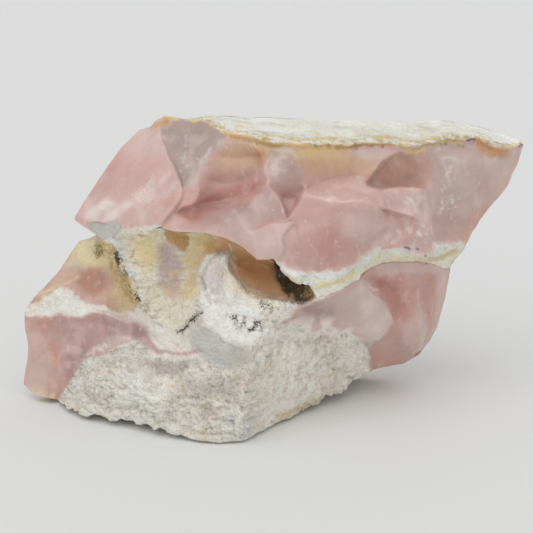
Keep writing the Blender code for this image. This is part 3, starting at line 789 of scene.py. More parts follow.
# ---- where each mineral shows -----------------------------------------------------------------
# Areas on the sheet: the colour's name, the outline, its border's softness in sheet units and its
# strength. A later area lies over the earlier ones, and an opal colour of strength 1 covers chalk.
UPPER_AREAS = (
    ("dusk_mauve", (160, 124, 180, 120, 214, 121, 235, 128, 226, 137, 216, 148, 204, 166, 190, 184, 182, 188,
        172, 165, 166, 150, 161, 138), 1.5, 0.95),
    ("opal_pale", (186, 186, 194, 172, 204, 158, 216, 142, 224, 138, 222, 150, 208, 164, 200, 180, 192, 186),
        5, 0.85),
    ("peach", (224, 140, 262, 146, 262, 168, 244, 180, 216, 178, 218, 154), 9, 0.75),
    ("opal_rose", (203, 207, 198, 196, 206, 180, 232, 170, 258, 172, 268, 180, 262, 192, 245, 200, 225, 206),
        8, 0.8),
    ("red_rose", (202, 204, 206, 196, 226, 188, 250, 180, 262, 184, 260, 192, 240, 201), 4.5, 1),
    ("red_rose", (176, 207, 190, 208, 206, 204, 222, 204, 212, 214, 200, 224, 190, 223, 180, 217), 4, 0.9),
    ("deep_rose", (204, 200, 228, 190, 252, 184, 258, 192, 236, 201, 208, 207), 4, 0.8),
    ("deep_rose", (178, 210, 190, 210, 204, 212, 198, 222, 186, 220), 4, 0.6),
    ("rust", (254, 148, 264, 144, 282, 146, 278, 158, 270, 166, 258, 162), 5, 0.8),
    ("blue_grey", (266, 162, 276, 150, 292, 150, 303, 162, 302, 190, 292, 198, 280, 194, 270, 182), 9, 0.5),
    ("opal_pale", (264, 158, 274, 148, 288, 150, 280, 166, 272, 182, 266, 176), 6, 0.4),
    ("peach", (296, 150, 352, 152, 372, 160, 376, 172, 352, 178, 310, 178, 298, 165), 9, 0.85),
    ("rind_glow", (222, 132, 262, 142, 300, 146, 345, 148, 352, 157, 330, 162, 296, 158, 262, 150, 230, 141),
        5, 0.6),
    ("opal_rose", (300, 178, 350, 170, 368, 176, 366, 184, 330, 186, 300, 194), 6, 0.45),
    ("opal_pale", (356, 150, 366, 150, 378, 146, 384, 152, 382, 160, 368, 163, 360, 160), 3, 0.6),
    ("deep_brown", (402, 150, 436, 150, 434, 170, 432, 188, 368, 188, 366, 184, 376, 170, 388, 158), 4, 0.85),
    ("dusk_mauve", (178, 224, 200, 222, 226, 214, 246, 204, 256, 190, 268, 186, 282, 198, 288, 218, 262, 228,
        246, 230, 240, 240, 210, 232, 180, 230), 4, 0.45),
    ("shelf_mauve", (204, 207, 230, 203, 246, 202, 240, 214, 226, 224, 206, 222), 5, 0.85),
    ("shelf_mauve", (226, 202, 246, 198, 262, 206, 256, 222, 236, 226), 5, 0.3),
    ("shelf_mauve", (256, 194, 270, 188, 280, 200, 285, 216, 264, 222, 252, 212), 5, 0.5),
    ("opal_pale", (250, 232, 260, 228, 280, 222, 292, 223, 284, 236, 284, 252, 274, 260, 258, 260, 252, 244),
        3, 0.5),
    ("opal_pale", (232, 210, 240, 212, 252, 228, 256, 250, 248, 248, 238, 232), 4, 0.4),
    ("opal_rose", (292, 224, 300, 200, 384, 210, 386, 228, 366, 250, 350, 270, 300, 272, 284, 258, 286, 240),
        5, 0.8),
    ("red_rose", (312, 230, 342, 230, 348, 246, 336, 262, 320, 262, 308, 250), 12, 0.6),
    ("shelf_mauve", (376, 188, 426, 190, 428, 204, 416, 212, 384, 204), 5, 0.4),
    ("opal_pale", (303, 190, 330, 181, 358, 176, 366, 184, 420, 188, 428, 200, 418, 216, 380, 208, 340, 202,
        312, 198), 4, 0.12),
    ("opal_pale", (348, 212, 376, 214, 380, 228, 362, 244, 348, 238), 8, 0.3),
    ("opal_pale", (340, 210, 376, 207, 384, 215, 386, 223, 378, 233, 364, 243, 344, 238), 8, 0.3),
    ("red_rose", (381, 209, 404, 214, 414, 219, 402, 230, 380, 240, 387, 231, 388, 221), 1.2, 0.35),
    ("opal_rose", (380, 208, 404, 214, 414, 219, 400, 236, 372, 242, 386, 230, 388, 222), 1.6, 0.8),
    ("opal_pale", (417, 196, 427, 192, 431, 238, 420, 244, 412, 238, 419, 220), 2, 0.6),
    ("opal_rose", (404, 216, 430, 220, 432, 246, 380, 246, 376, 240, 404, 236), 4, 0.3),
    ("opal_mauve", (424, 144, 500, 142, 523, 142, 500, 200, 470, 240, 434, 242, 431, 214, 434, 180), 6, 0.8),
    ("blue_grey", (440, 150, 452, 152, 462, 190, 470, 226, 440, 240, 434, 200, 434, 165), 9, 0.4),
    ("purple", (434, 216, 446, 214, 460, 220, 450, 234, 436, 240), 7, 0.25),
    ("opal_pale", (488, 156, 514, 160, 506, 184, 488, 190), 7, 0.4),
    ("opal_rose", (434, 204, 456, 204, 462, 228, 440, 242), 7, 0.5),
    ("opal_pale", (436, 150, 460, 154, 484, 160, 500, 154, 490, 166, 456, 164, 440, 158), 5, 0.5),
    # The orange-pink strip along the right edge is partly the opal's own colour and partly painted glow of
    # light through the thin stone.
    ("salmon", (482, 204, 492, 204, 482, 222, 466, 246, 446, 238, 462, 226), 4, 0.4),
    ("opal_rose", (90, 165, 118, 158, 156, 166, 150, 198, 110, 202, 84, 204), 10, 0.35),
    # Painted highlight: the pale zone and the two milky streaks on the cheek.
    ("opal_pale", (84, 206, 104, 199, 130, 202, 150, 216, 128, 224, 94, 221, 80, 218), 6, 0.6),
    ("milky", (85, 218, 92, 208, 106, 199, 112, 203, 101, 212, 97, 220), 3, 0.9),
    ("milky", (102, 219, 110, 211, 126, 202, 133, 204, 124, 213, 114, 220), 3, 0.75),
    ("opal_pale", (118, 146, 140, 130, 160, 130, 166, 150, 150, 160, 126, 158), 8, 0.5),
    ("salmon", (120, 208, 136, 206, 140, 216, 132, 228, 120, 226), 6, 0.35),
    ("salmon", (164, 196, 178, 194, 178, 204, 166, 208), 5, 0.35),
    ("salmon", (186, 188, 198, 186, 199, 200, 188, 206, 180, 208), 4, 0.3),
    ("chalk_white", (132, 196, 142, 186, 153, 175, 155, 190, 153, 203, 145, 204, 139, 201), 1, 0.35),
    ("peach", (148, 130, 156, 121, 166, 114, 178, 117, 172, 124, 160, 129), 2.5, 0.95),
    ("rust", (151, 128, 158, 121, 166, 115, 176, 118, 168, 125), 3, 0.5),
    ("chalk_cream", (112, 228, 126, 228, 150, 225, 161, 224, 160, 231, 140, 236, 118, 240), 1.2, 0.9),
    ("grey_chalk_and_shade", (86, 222, 100, 221, 120, 222, 123, 230, 114, 238, 104, 242, 94, 234), 1, 1),
    ("chalk_bright", (272, 262, 284, 262, 294, 271, 310, 273, 345, 270, 357, 265, 366, 255, 376, 248,
        398, 248, 404, 252, 432, 256, 434, 243, 462, 244, 470, 250, 450, 274, 440, 268, 400, 263, 372, 270,
        356, 286, 318, 303, 296, 286), 3.8, 1),
    ("seam_cream", (312, 276, 352, 276, 362, 266, 380, 254, 420, 256, 450, 248, 464, 250, 448, 270, 400, 263,
        370, 268, 350, 286, 318, 300), 4, 0.9),
)
# Speckled areas: the colour's name, the outline, its softness, the speck size in millimetres and the level
# of noise above which the specks show.
UPPER_SPECKLES = (
    ("chalk_bright", (225, 128, 300, 136, 345, 138, 345, 145, 300, 143, 262, 139, 224, 131), 1.5, 0.6, 0.1,
        0.8),
    ("gold", (205, 122, 222, 126, 300, 140, 345, 140, 345, 149, 300, 148, 222, 134), 2, 0.8, -0.1, 0.9),
    ("limonite", (218, 128, 262, 138, 300, 142, 345, 142, 345, 150, 300, 151, 262, 146, 222, 136), 1.5, 0.5,
        0.2, 0.8),
    ("olive", (260, 143, 350, 144, 436, 140, 470, 136, 500, 144, 500, 150, 436, 145, 350, 150, 260, 147), 1.5,
        0.7, 0.2, 0.9),
    ("milky", (438, 148, 456, 152, 458, 176, 444, 184, 438, 170), 5, 0.8, 0.1, 0.45),
    ("milky", (434, 190, 452, 186, 462, 204, 448, 222, 436, 214), 5, 0.6, 0.2, 0.5),
    ("milky", (264, 150, 296, 152, 298, 176, 280, 186, 266, 176), 6, 1.3, -0.1, 0.35),
    ("pale_yellow", (300, 276, 352, 276, 362, 266, 380, 254, 450, 250, 462, 252, 446, 268, 400, 262, 352, 284,
        318, 298), 3, 1.1, 0.1, 0.6),
    ("milky", (300, 188, 360, 180, 420, 190, 425, 214, 380, 208, 330, 204), 6, 1.2, 0.2, 0.3),
    ("milky", (384, 236, 432, 220, 432, 250, 384, 248), 5, 1, 0.1, 0.5),
)
LOWER_SPECKLES = (
    ("soot", (274, 260, 284, 264, 296, 280, 310, 284, 313, 297, 302, 303, 288, 298, 281, 290, 276, 276), 2,
        0.8, -0.35, 0.85),
    ("limonite", (298, 286, 311, 285, 313, 298, 302, 303, 296, 296), 2, 0.7, 0.1, 0.9),
    ("speck_shade", (226, 315, 246, 315, 262, 322, 268, 334, 254, 337, 236, 330), 4, 0.7, 0, 0.6),
    ("speck_shade", (254, 298, 272, 298, 286, 304, 272, 316, 258, 312), 4, 0.7, 0.05, 0.6),
    ("limonite", (100, 240, 110, 243, 130, 276, 142, 304, 130, 304, 116, 280, 104, 258), 2.5, 0.8, 0.05, 0.8),
    ("soot", (110, 244, 119, 250, 134, 280, 143, 302, 134, 298, 120, 272), 2, 0.6, 0.35, 0.8),
    ("olive", (91, 243, 104, 242, 107, 256, 95, 260), 4, 0.7, 0, 0.7),
    ("bowl_ochre", (130, 236, 160, 232, 164, 262, 150, 276, 138, 262), 6, 1.3, 0, 0.55),
    ("bowl_ochre", (150, 284, 200, 266, 198, 292, 176, 318, 158, 310), 6, 1.3, 0.1, 0.45),
    ("chalk_bright", (140, 276, 166, 280, 184, 322, 158, 322), 6, 1.1, 0.1, 0.5),
    ("limonite", (103, 242, 112, 246, 126, 272, 140, 302, 132, 302, 120, 284, 110, 264), 2, 0.6, 0.1, 0.7),
    ("chalk_white", (284, 318, 300, 316, 345, 322, 362, 340, 340, 342, 300, 336), 8, 1.6, -0.2, 0.5),
    ("chalk_white", (74, 384, 82, 358, 100, 344, 124, 333, 130, 338, 106, 350, 90, 368), 4, 0.9, -0.1, 0.5),
    ("horn_mauve", (200, 286, 236, 286, 240, 306, 206, 312), 5, 0.7, 0, 0.6),
    # Painted shade: pinkish grey specks that stand for shade in the chalk's crevices.
    ("pink_shade", (70, 362, 130, 350, 240, 356, 240, 426, 90, 408), 9, 2.4, 0, 0.4),
    ("pink_shade", (260, 340, 330, 336, 350, 372, 290, 400, 262, 392), 9, 1, 0.1, 0.6),
    ("seam_ochre", (262, 358, 340, 352, 352, 374, 300, 404, 262, 424), 8, 0.8, 0.25, 0.3),
    ("end_pale", (26, 322, 100, 322, 80, 366, 60, 396, 30, 394), 9, 1.4, 0, 0.4),
)
# Strokes: the colour's name, the route, the half-width and the border's softness in sheet units, and
# the strength.
UPPER_STROKES = (
    ("gold", (166, 117, 186, 119.5, 204, 120, 214, 124, 220, 130), 1.6, 1.4, 0.9),
    ("gold", (221, 131, 232, 135, 242, 137, 254, 139, 266, 142, 280, 145, 300, 147, 318, 150, 334, 149,
        346, 147), 2.2, 2.2, 0.6),
    ("rust", (224, 134, 240, 138, 254, 141, 266, 145), 1.2, 1.4, 0.4),
    ("limonite", (258, 143, 268, 145, 282, 147), 1.2, 1.4, 0.7),
    ("gold", (300, 151, 318, 153, 336, 151), 2.2, 2.2, 0.55),
    ("limonite", (338, 148, 350, 147, 358, 145, 372, 144), 1.9, 1.2, 0.85),
    ("deep_amber", (350, 146.5, 358, 145, 367, 144.5), 1.7, 1.2, 0.9),
    ("limonite", (370, 143, 380, 144, 394, 145, 404, 148, 414, 149, 424, 146, 436, 143), 1.7, 1.2, 0.85),
    ("gold", (406, 150, 416, 152, 422, 150), 2.6, 2.2, 0.7),
    ("olive", (436, 141.5, 447, 139.5, 462, 141), 1.3, 1.2, 0.8),
    ("gold", (436, 143, 448, 142, 462, 143), 1.6, 2, 0.5),
    ("soot", (468, 140, 474, 139, 480, 140.5), 1, 0.9, 0.75),
    ("limonite", (478, 140, 486, 144, 494, 148), 1.4, 1, 0.85),
    ("rust", (480, 146, 490, 150, 500, 153, 505, 151), 4.2, 3, 0.85),
    ("soot", (519, 146, 523, 144), 1.2, 0.9, 0.7),
    ("violet", (405, 247, 409, 249), 1.2, 0.6, 0.9),
    ("violet", (417, 249, 418, 249), 0.9, 0.5, 0.9),
    ("violet", (425, 255, 426, 256), 0.9, 0.5, 0.7),
    ("salmon", (384, 248, 391, 246, 398, 244), 1.3, 1.2, 0.6),
    ("seam_ochre", (430, 260, 440, 259, 449, 254, 455, 251), 2.2, 1.8, 0.65),
    ("pale_yellow", (394, 261, 402, 259, 412, 259, 428, 261), 1.8, 1.8, 0.9),
    ("pale_yellow", (366, 266, 374, 258, 384, 253), 1.8, 1.8, 0.8),
    ("pale_yellow", (318, 287, 330, 283, 346, 279, 354, 275), 3.4, 2, 1),
    ("ochre", (322, 286, 332, 283, 342, 280), 1.4, 2, 0.35),
    ("pale_yellow", (284, 272, 294, 277, 302, 281), 1.6, 1.8, 0.8),
    ("chalk_bright", (290, 271, 306, 276, 320, 274, 345, 272), 2.4, 2.2, 0.9),
    ("bowl_ochre", (274, 262, 282, 268, 290, 277, 299, 284), 1.8, 2, 0.7),
    ("white_scratch", (200, 166, 208, 155, 218, 142), 1.4, 3, 0.5),
    ("white_scratch", (182, 162, 186, 152), 0.9, 1.6, 0.35),
    ("white_scratch", (187, 135, 187, 144), 0.6, 1.2, 0.35),
    ("white_scratch", (242, 170, 243, 176), 0.8, 1.2, 0.4),
    ("white_scratch", (276, 150, 290, 152, 298, 157), 1.2, 2.6, 0.4),
    ("white_scratch", (268, 182, 263, 172, 266, 163, 272, 156), 0.9, 2.4, 0.4),
    ("white_scratch", (305, 193, 315, 197, 325, 200, 338, 201), 0.6, 1.4, 0.25),
    ("white_scratch", (325, 190, 332, 196, 340, 200, 352, 200), 0.8, 1.6, 0.4),
    ("white_scratch", (312, 262, 318, 256, 316, 250, 311, 244), 0.5, 1.2, 0.3),
    ("white_scratch", (330, 248, 336, 246, 342, 248), 0.5, 1.2, 0.3),
    ("white_scratch", (160, 185, 166, 176, 170, 172), 1.4, 3, 0.4),
    ("white_scratch", (165, 198, 171, 188, 177, 182), 1.4, 3.5, 0.4),
    ("white_scratch", (441, 158, 446, 170, 450, 186), 1, 2.4, 0.4),
    ("white_scratch", (448, 158, 464, 161), 0.9, 1.6, 0.4),
    ("white_scratch", (438, 214, 446, 204, 452, 196), 1.2, 2.6, 0.4),
    ("white_scratch", (409, 198, 414, 203, 416, 212), 1.2, 2, 0.6),
    ("red_rose", (256, 229, 266, 223, 276, 221, 288, 220), 0.8, 1.4, 0.6),
    ("red_rose", (288, 217, 292, 208, 297, 199), 1.2, 1.6, 0.7),
    ("red_rose", (303, 189, 316, 187, 326, 181), 0.7, 1.2, 0.5),
    ("red_rose", (200, 204, 216, 203, 232, 200, 246, 195, 258, 188), 0.9, 1.6, 0.7),
)
LOWER_AREAS = (
    ("bowl_cream", (108, 234, 160, 226, 230, 228, 262, 300, 200, 318, 178, 332, 158, 330, 140, 306, 124, 270,
        112, 246), 2, 1),
    ("chalk_white", (200, 290, 262, 296, 292, 302, 300, 305, 292, 314, 280, 322, 290, 322, 340, 326, 358, 338,
        366, 346, 372, 372, 300, 418, 220, 450, 50, 420, 50, 402, 64, 392, 74, 376, 86, 361, 100, 355,
        118, 346, 134, 340, 142, 330, 134, 316, 138, 304, 158, 320, 172, 332, 190, 322), 1.5, 1),
    ("chalk_smooth", (130, 316, 142, 308, 160, 326, 178, 336, 200, 344, 212, 352, 196, 362, 168, 360,
        150, 350, 140, 338), 4, 0.9),
    ("chalk_white", (98, 232, 106, 236, 114, 238, 128, 258, 140, 280, 152, 304, 164, 326, 152, 328, 138, 306,
        124, 280, 112, 258, 104, 244), 1.5, 1),
    ("grey_chalk_and_shade", (104, 234, 124, 234, 134, 250, 130, 262, 118, 250), 5, 0.5),
    ("chalk_smooth", (20, 312, 42, 298, 58, 288, 70, 290, 80, 298, 92, 304, 104, 308, 118, 312, 128, 311,
        150, 318, 158, 334, 146, 330, 134, 325, 118, 320, 104, 313, 95, 312, 80, 318, 60, 316, 40, 318,
        26, 316), 2.2, 1),
    ("chalk_bright", (24, 310, 42, 301, 60, 294, 72, 298, 92, 307, 80, 312, 50, 314, 28, 315), 4, 0.8),
    ("chalk_white", (262, 298, 300, 300, 312, 302, 320, 290, 308, 280, 330, 280, 322, 300, 306, 306, 290, 310,
        262, 322), 1.5, 1),
    ("bowl_cream", (126, 238, 160, 230, 164, 250, 156, 300, 172, 326, 158, 322, 142, 290, 132, 262), 4, 0.6),
    ("yellow_cream", (130, 238, 156, 236, 158, 258, 146, 268, 136, 258), 6, 0.9),
    ("bowl_mauve", (158, 246, 168, 242, 180, 254, 184, 270, 180, 290, 172, 300, 161, 286, 156, 266), 5, 1),
    ("amber_warm", (163, 229, 190, 229, 189, 244, 184, 252, 174, 246, 167, 240), 2, 0.95),
    ("bowl_ochre", (188, 232, 212, 234, 218, 248, 204, 264, 190, 270, 182, 258, 190, 246), 4, 0.95),
    ("amber_warm", (203, 243, 216, 239, 224, 250, 214, 255, 204, 253), 3, 0.8),
    ("bowl_ochre", (180, 290, 190, 272, 198, 272, 196, 290, 184, 304), 5, 0.75),
    ("bowl_ochre", (120, 280, 132, 278, 144, 300, 136, 306), 3, 0.4),
    ("amber_brown", (218, 232, 240, 236, 262, 240, 300, 262, 312, 290, 300, 300, 284, 298, 262, 292, 246, 284,
        234, 276, 230, 264, 228, 254, 216, 246), 3, 1),
    ("hole_grey", (232, 268, 242, 276, 260, 286, 276, 295, 262, 298, 246, 292, 236, 282), 3, 0.2),
    ("amber_warm", (244, 268, 270, 270, 277, 290, 258, 290), 5, 0.7),
    ("deep_amber", (268, 262, 284, 264, 298, 284, 312, 286, 314, 298, 302, 303, 286, 298, 276, 284), 4, 0.85),
    ("chalk_bright", (206, 262, 218, 255, 230, 256, 228, 266, 234, 284, 240, 300, 204, 310, 198, 298,
        202, 278), 2, 0.85),
    ("horn_mauve", (203, 272, 214, 262, 226, 268, 228, 284, 216, 292, 204, 290), 4, 0.75),
    ("seam_cream", (226, 268, 236, 278, 252, 290, 268, 297, 286, 300, 284, 306, 262, 314, 246, 302, 232, 290,
        224, 276), 3, 0.9),
    ("chalk_bright", (132, 366, 160, 366, 176, 384, 168, 404, 130, 396), 8, 0.8),
    ("chalk_bright", (202, 306, 240, 298, 258, 310, 264, 330, 252, 346, 236, 342, 218, 334, 204, 320), 2.5,
        0.95),
    # Painted shade: the white block's smooth front face, turned from the light, is painted grey.
    ("grey_chalk_and_shade", (188, 328, 206, 324, 226, 342, 250, 348, 254, 362, 236, 372, 206, 362, 190, 344), 5, 0.95),
    # Painted shade: darker chalk below the lip band's groove and lower on the prow's left face.
    ("chalk_painted_shade", (150, 362, 196, 360, 186, 372, 160, 376), 4, 0.7),
    ("chalk_painted_shade", (180, 380, 236, 376, 236, 396, 196, 398), 6, 0.6),
    # Painted light: the chalk's right face is painted lighter and less craggy, for the light that falls on
    # it.
    ("chalk_painted_light", (262, 328, 284, 328, 316, 342, 344, 336, 368, 346, 370, 370, 340, 388, 280, 420, 258, 428,
        258, 380), 5, 0.95),
    ("yellow_cream", (66, 262, 82, 238, 104, 240, 116, 262, 104, 268, 80, 262), 6, 0.9),
    ("yellow_cream", (102, 240, 110, 244, 122, 264, 134, 290, 142, 306, 130, 306, 118, 290, 110, 270), 3,
        0.9),
    ("wedge_pink", (34, 300, 66, 266, 94, 266, 110, 284, 112, 304, 96, 304, 76, 292, 58, 286), 4, 0.95),
    ("wedge_glow", (82, 272, 92, 266, 102, 267, 109, 278, 106, 290, 94, 296, 82, 290, 77, 282), 6, 0.9),
    ("pale_yellow", (72, 254, 80, 239, 94, 237, 96, 248, 86, 258), 5, 0.75),
    ("pale_yellow", (66, 266, 80, 252, 100, 252, 102, 262, 84, 268), 5, 0.6),
    ("yellow_cream", (110, 284, 124, 288, 138, 306, 126, 318, 112, 310, 114, 298), 4, 0.6),
    ("limonite", (110, 262, 120, 264, 134, 292, 138, 304, 128, 306, 116, 300, 112, 282), 5, 0.35),
    ("ochre_mauve", (104, 298, 118, 296, 124, 304, 118, 312, 106, 308), 4, 0.7),
    ("side_pink", (20, 318, 60, 318, 80, 320, 95, 314, 118, 320, 134, 325, 144, 331, 151, 341, 158, 349,
        166, 352, 157, 353, 148, 346, 142, 338, 131, 333, 120, 336, 108, 343, 98, 349, 86, 359, 78, 371,
        70, 384, 58, 402, 30, 398, 20, 384), 2.4, 1),
    ("chalk_smooth", (92, 352, 104, 338, 122, 332, 140, 336, 128, 340, 110, 346), 6, 0.55),
    ("side_mauve", (62, 322, 108, 320, 120, 338, 104, 350, 84, 356, 70, 350, 60, 336), 9, 0.7),
    ("side_mauve", (110, 315, 128, 314, 146, 324, 155, 337, 140, 332, 124, 323), 5, 0.45),
    ("purple", (104, 319, 122, 321, 137, 325, 148, 333, 141, 338, 126, 334, 108, 334), 4, 1),
    ("side_mauve", (106, 321, 122, 322, 136, 328, 128, 334, 112, 332), 4, 0.6),
    ("purple", (68, 354, 82, 350, 88, 356, 80, 372, 68, 374), 6, 0.5),
    ("salmon", (36, 319, 54, 318, 56, 329, 42, 332), 5, 0.6),
    # The orange-pink at the low left edge is partly the opal's own colour and partly painted glow of light
    # through the thin stone.
    ("salmon", (42, 344, 52, 344, 62, 360, 58, 370, 50, 364), 5, 0.95),
    ("salmon", (50, 378, 62, 377, 62, 386, 52, 388), 4, 0.6),
    ("rust", (52, 379, 60, 378, 60, 386, 54, 387), 4, 0.4),
    ("yellow_cream", (26, 391, 42, 388, 58, 396, 58, 404, 30, 402), 3, 0.6),
    ("end_pale", (18, 330, 36, 330, 44, 352, 50, 372, 60, 398, 30, 398, 18, 384), 7, 0.7),
    ("plate_mauve", (299, 306, 318, 303, 345, 292, 364, 278, 384, 300, 394, 322, 380, 342, 366, 348, 356, 337,
        342, 331, 326, 333, 312, 331, 304, 323, 299, 314), 5.5, 1),
    ("purple", (302, 306, 334, 304, 334, 316, 318, 322, 304, 320), 6, 0.75),
    ("opal_pale", (362, 300, 384, 308, 391, 318, 384, 334, 370, 345, 360, 338), 6, 0.95),
    ("opal_rose", (364, 277, 376, 268, 448, 266, 446, 292, 436, 332, 424, 350, 396, 368, 371, 371, 368, 348,
        388, 336, 393, 320, 386, 304), 1, 1),
    ("red_rose", (368, 276, 400, 274, 412, 300, 404, 322, 396, 322, 388, 304, 374, 290), 6, 0.85),
    ("deep_rose", (370, 278, 392, 278, 402, 300, 398, 318, 388, 302), 5, 0.9),
    ("opal_pale", (412, 300, 424, 312, 428, 332, 422, 346, 406, 344, 402, 330, 410, 318), 7, 0.6),
    ("salmon", (424, 270, 434, 272, 434, 320, 428, 336, 424, 300), 4, 0.4),
    ("opal_pale", (374, 264, 440, 264, 440, 272, 400, 274, 376, 276), 4, 0.5),
    ("opal_pale", (436, 268, 450, 268, 446, 300, 436, 332, 432, 320), 4, 0.5),
    ("red_rose", (370, 352, 400, 356, 404, 364, 370, 370), 5, 0.4),
)
LOWER_STROKES = (
    ("soot", (204, 312, 200, 315, 196, 319, 193, 321), 1.4, 1.2, 0.8),
    ("limonite", (200, 313, 192, 322, 186, 328), 1.8, 1.6, 0.6),
    ("soot", (188, 326, 184, 331, 178, 333), 1.2, 1.2, 0.8),
    ("soot", (113, 248, 116, 256, 120, 264), 1.3, 1.1, 0.85),
    ("soot", (124, 270, 127, 275), 1.2, 1, 0.7),
    ("yellow_cream", (50, 290, 62, 285, 72, 281, 79, 277), 1.4, 2, 0.7),
    ("chalk_bright", (203, 270, 206, 262, 212, 257, 220, 254, 229, 253, 231, 260, 234, 268), 2.4, 1.4, 0.95),
    ("bowl_cream", (234, 274, 242, 287, 253, 295, 268, 299, 282, 300), 2.8, 2.2, 0.8),
    ("bowl_ochre", (231, 260, 235, 272, 243, 286, 255, 294, 270, 299, 288, 302), 1.6, 1.8, 0.65),
    ("bowl_cream", (229, 257, 232, 251, 230, 246), 0.9, 0.9, 0.9),
    ("bowl_cream", (229, 258, 233, 256, 236, 259), 0.8, 0.9, 0.8),
    ("yellow_cream", (34, 296, 46, 292, 58, 285), 1.8, 2.2, 0.6),
    ("side_mauve", (140, 338, 150, 347, 160, 352, 180, 353.5, 202, 351), 1.8, 2.4, 0.75),
    ("purple", (203, 278, 205, 288), 1.3, 1.6, 0.6),
    # Painted shade in the crack on the grey face.
    ("chalk_painted_shade", (222, 339, 231, 345), 1, 1, 0.8),
    ("seam_ochre", (229, 250, 232, 256, 234, 264), 1.2, 1.2, 0.8),
    ("amber_warm", (256, 297, 266, 297, 282, 297), 1, 1.6, 0.7),
    ("bowl_ochre", (172, 276, 186, 268, 198, 262), 1.8, 2, 0.7),
    ("seam_ochre", (276, 416, 300, 407, 322, 396), 2.4, 3, 0.6),
    ("opal_pale", (368, 284, 376, 294, 384, 303, 390, 314, 392, 322, 387, 332, 378, 340), 0.9, 1.4, 0.6),
    ("white_scratch", (418, 290, 418, 304), 1, 2.4, 0.4),
    ("white_scratch", (372, 288, 378, 290), 0.9, 1.2, 0.5),
    ("salmon", (410, 280, 412, 312), 1.6, 3, 0.3),
    ("soot", (408, 362, 414, 358, 421, 352), 0.8, 1, 0.5),
    ("violet", (346, 378, 352, 376), 1.4, 1.4, 0.45),
    ("violet", (240, 434, 248, 428), 1.4, 1.6, 0.4),
    ("violet", (231, 422, 233, 423), 1.2, 1, 0.5),
    ("rust", (244, 316, 246, 317), 0.9, 0.8, 0.7),
    ("limonite", (139, 234, 142, 236), 1.2, 1, 0.8),
    ("limonite", (134, 250, 133, 255, 131, 258), 1, 1, 0.7),
)
# How much of its set brightness the opal keeps.
OPAL_DEPTH = 0.90
# The colours that count as chalk, and how craggy each is, from 0 for smooth to 1; the craggier, the deeper
# the painted shade in its crevices.
CRAGGINESS = {
    "chalk_white": 1.0, "chalk_cream": 0.6, "grey_chalk_and_shade": 0.15, "chalk_bright": 0.5, "chalk_painted_shade": 1.0,
    "chalk_painted_light": 0.7, "chalk_smooth": 0.3, "seam_cream": 0.15, "seam_ochre": 0.15, "bowl_cream": 0.65,
    "bowl_ochre": 0.4, "bowl_mauve": 0.35, "horn_mauve": 0.4, "hole_grey": 0.3, "yellow_cream": 0.15,
    "olive": 0.5, "ochre": 0.4, "limonite": 0.6,
}


# Noise patches: each axis's stretch, the size in millimetres, the seed, the number of octaves, the
# values between which a patch fades in, and its strength.
PATCHES = {
    "warm cast": ((1.0, 1.0, 1.0), 4.5, 191, 3, (-0.5, 0.9), 1.0),
    "veil": ((1.3, 1.0, 0.6), 2.2, 201, 4, (0.15, 0.9), 0.30),
    "cloud": ((1.0, 1.0, 1.0), 6.0, 211, 4, (0.0, 0.9), 0.35),
    "bruise": ((1.0, 1.0, 0.6), 0.5, 221, 2, (0.7, 1.0), 0.45),
    "rind streaks": ((0.25, 1.0, 1.0), 1.6, 78, 3, (0.0, 0.8), 0.8),
    "rind gold": ((0.4, 1.0, 1.0), 0.8, 79, 4, (-0.05, 0.12), 0.85),
    "rind white": ((0.5, 0.8, 1.0), 1.8, 83, 4, (0.0, 0.6), 0.8),
    "rind stain": ((0.4, 1.0, 1.0), 1.5, 87, 4, (0.35, 0.7), 0.2),
    "rind brown": ((0.4, 1.0, 1.0), 0.6, 89, 3, (0.25, 0.45), 0.7),
    "grain clumps": ((1.0, 1.0, 1.0), 1.3, 401, 3, (-0.3, 0.5), 1.0),
}
# The two noises that shake borders about: the size in millimetres and the seeds across and down.
BROAD_SHAKE = (2.6, (31, 41))
NARROW_SHAKE = (0.9, (51, 61))
# How far each of them shakes a border, in sheet units. An opal border is shaken more where it is soft.
CHALK_SHAKES = (1.6, 1.4)
OPAL_SHAKES = (1.0, 0.7)
OPAL_SOFT_SHAKE = 0.3
STROKE_SHAKES = (1.2, 0.9)
STROKE_RAGGEDNESS = 0.5
# The specks' first noise seed, the step to the next area's seed, and the span in which they fade in.
SPECK_SEED = 300
SPECK_SEED_STEP = 7
SPECK_FADE = 0.25
# Painted shade in the chalk's crevices: the span of the chalk's height over which it fades in, and its
# strength.
CREVICE_SHADE_SPAN = (-0.1, 0.7)
CREVICE_SHADE_STRENGTH = 0.36


def patches(points, name, raised=0.0):
    """How strongly a noise pattern shows at each point, where the noise is raised by a given value."""
    stretch, size, seed, octaves, span, strength = PATCHES[name]
    return strength * ramp(rough(points * np.array(stretch), size, seed, octaves) + raised, *span)


def shake(points, size, seeds):
    """A wandering shift on the sheet, across and down."""
    return np.stack([rough(points, size, seed) for seed in seeds], axis=1)


def cover(tint, colours, name, share):
    """Paints a named colour over the tint, by each point's share."""
    tint += (np.array(getattr(colours, name)) - tint) * share[:, None]


def dim(tint, tone, share):
    """Multiplies the tint by a tone, by each point's share."""
    tint *= 1.0 - share[:, None] * (1.0 - np.array(tone))


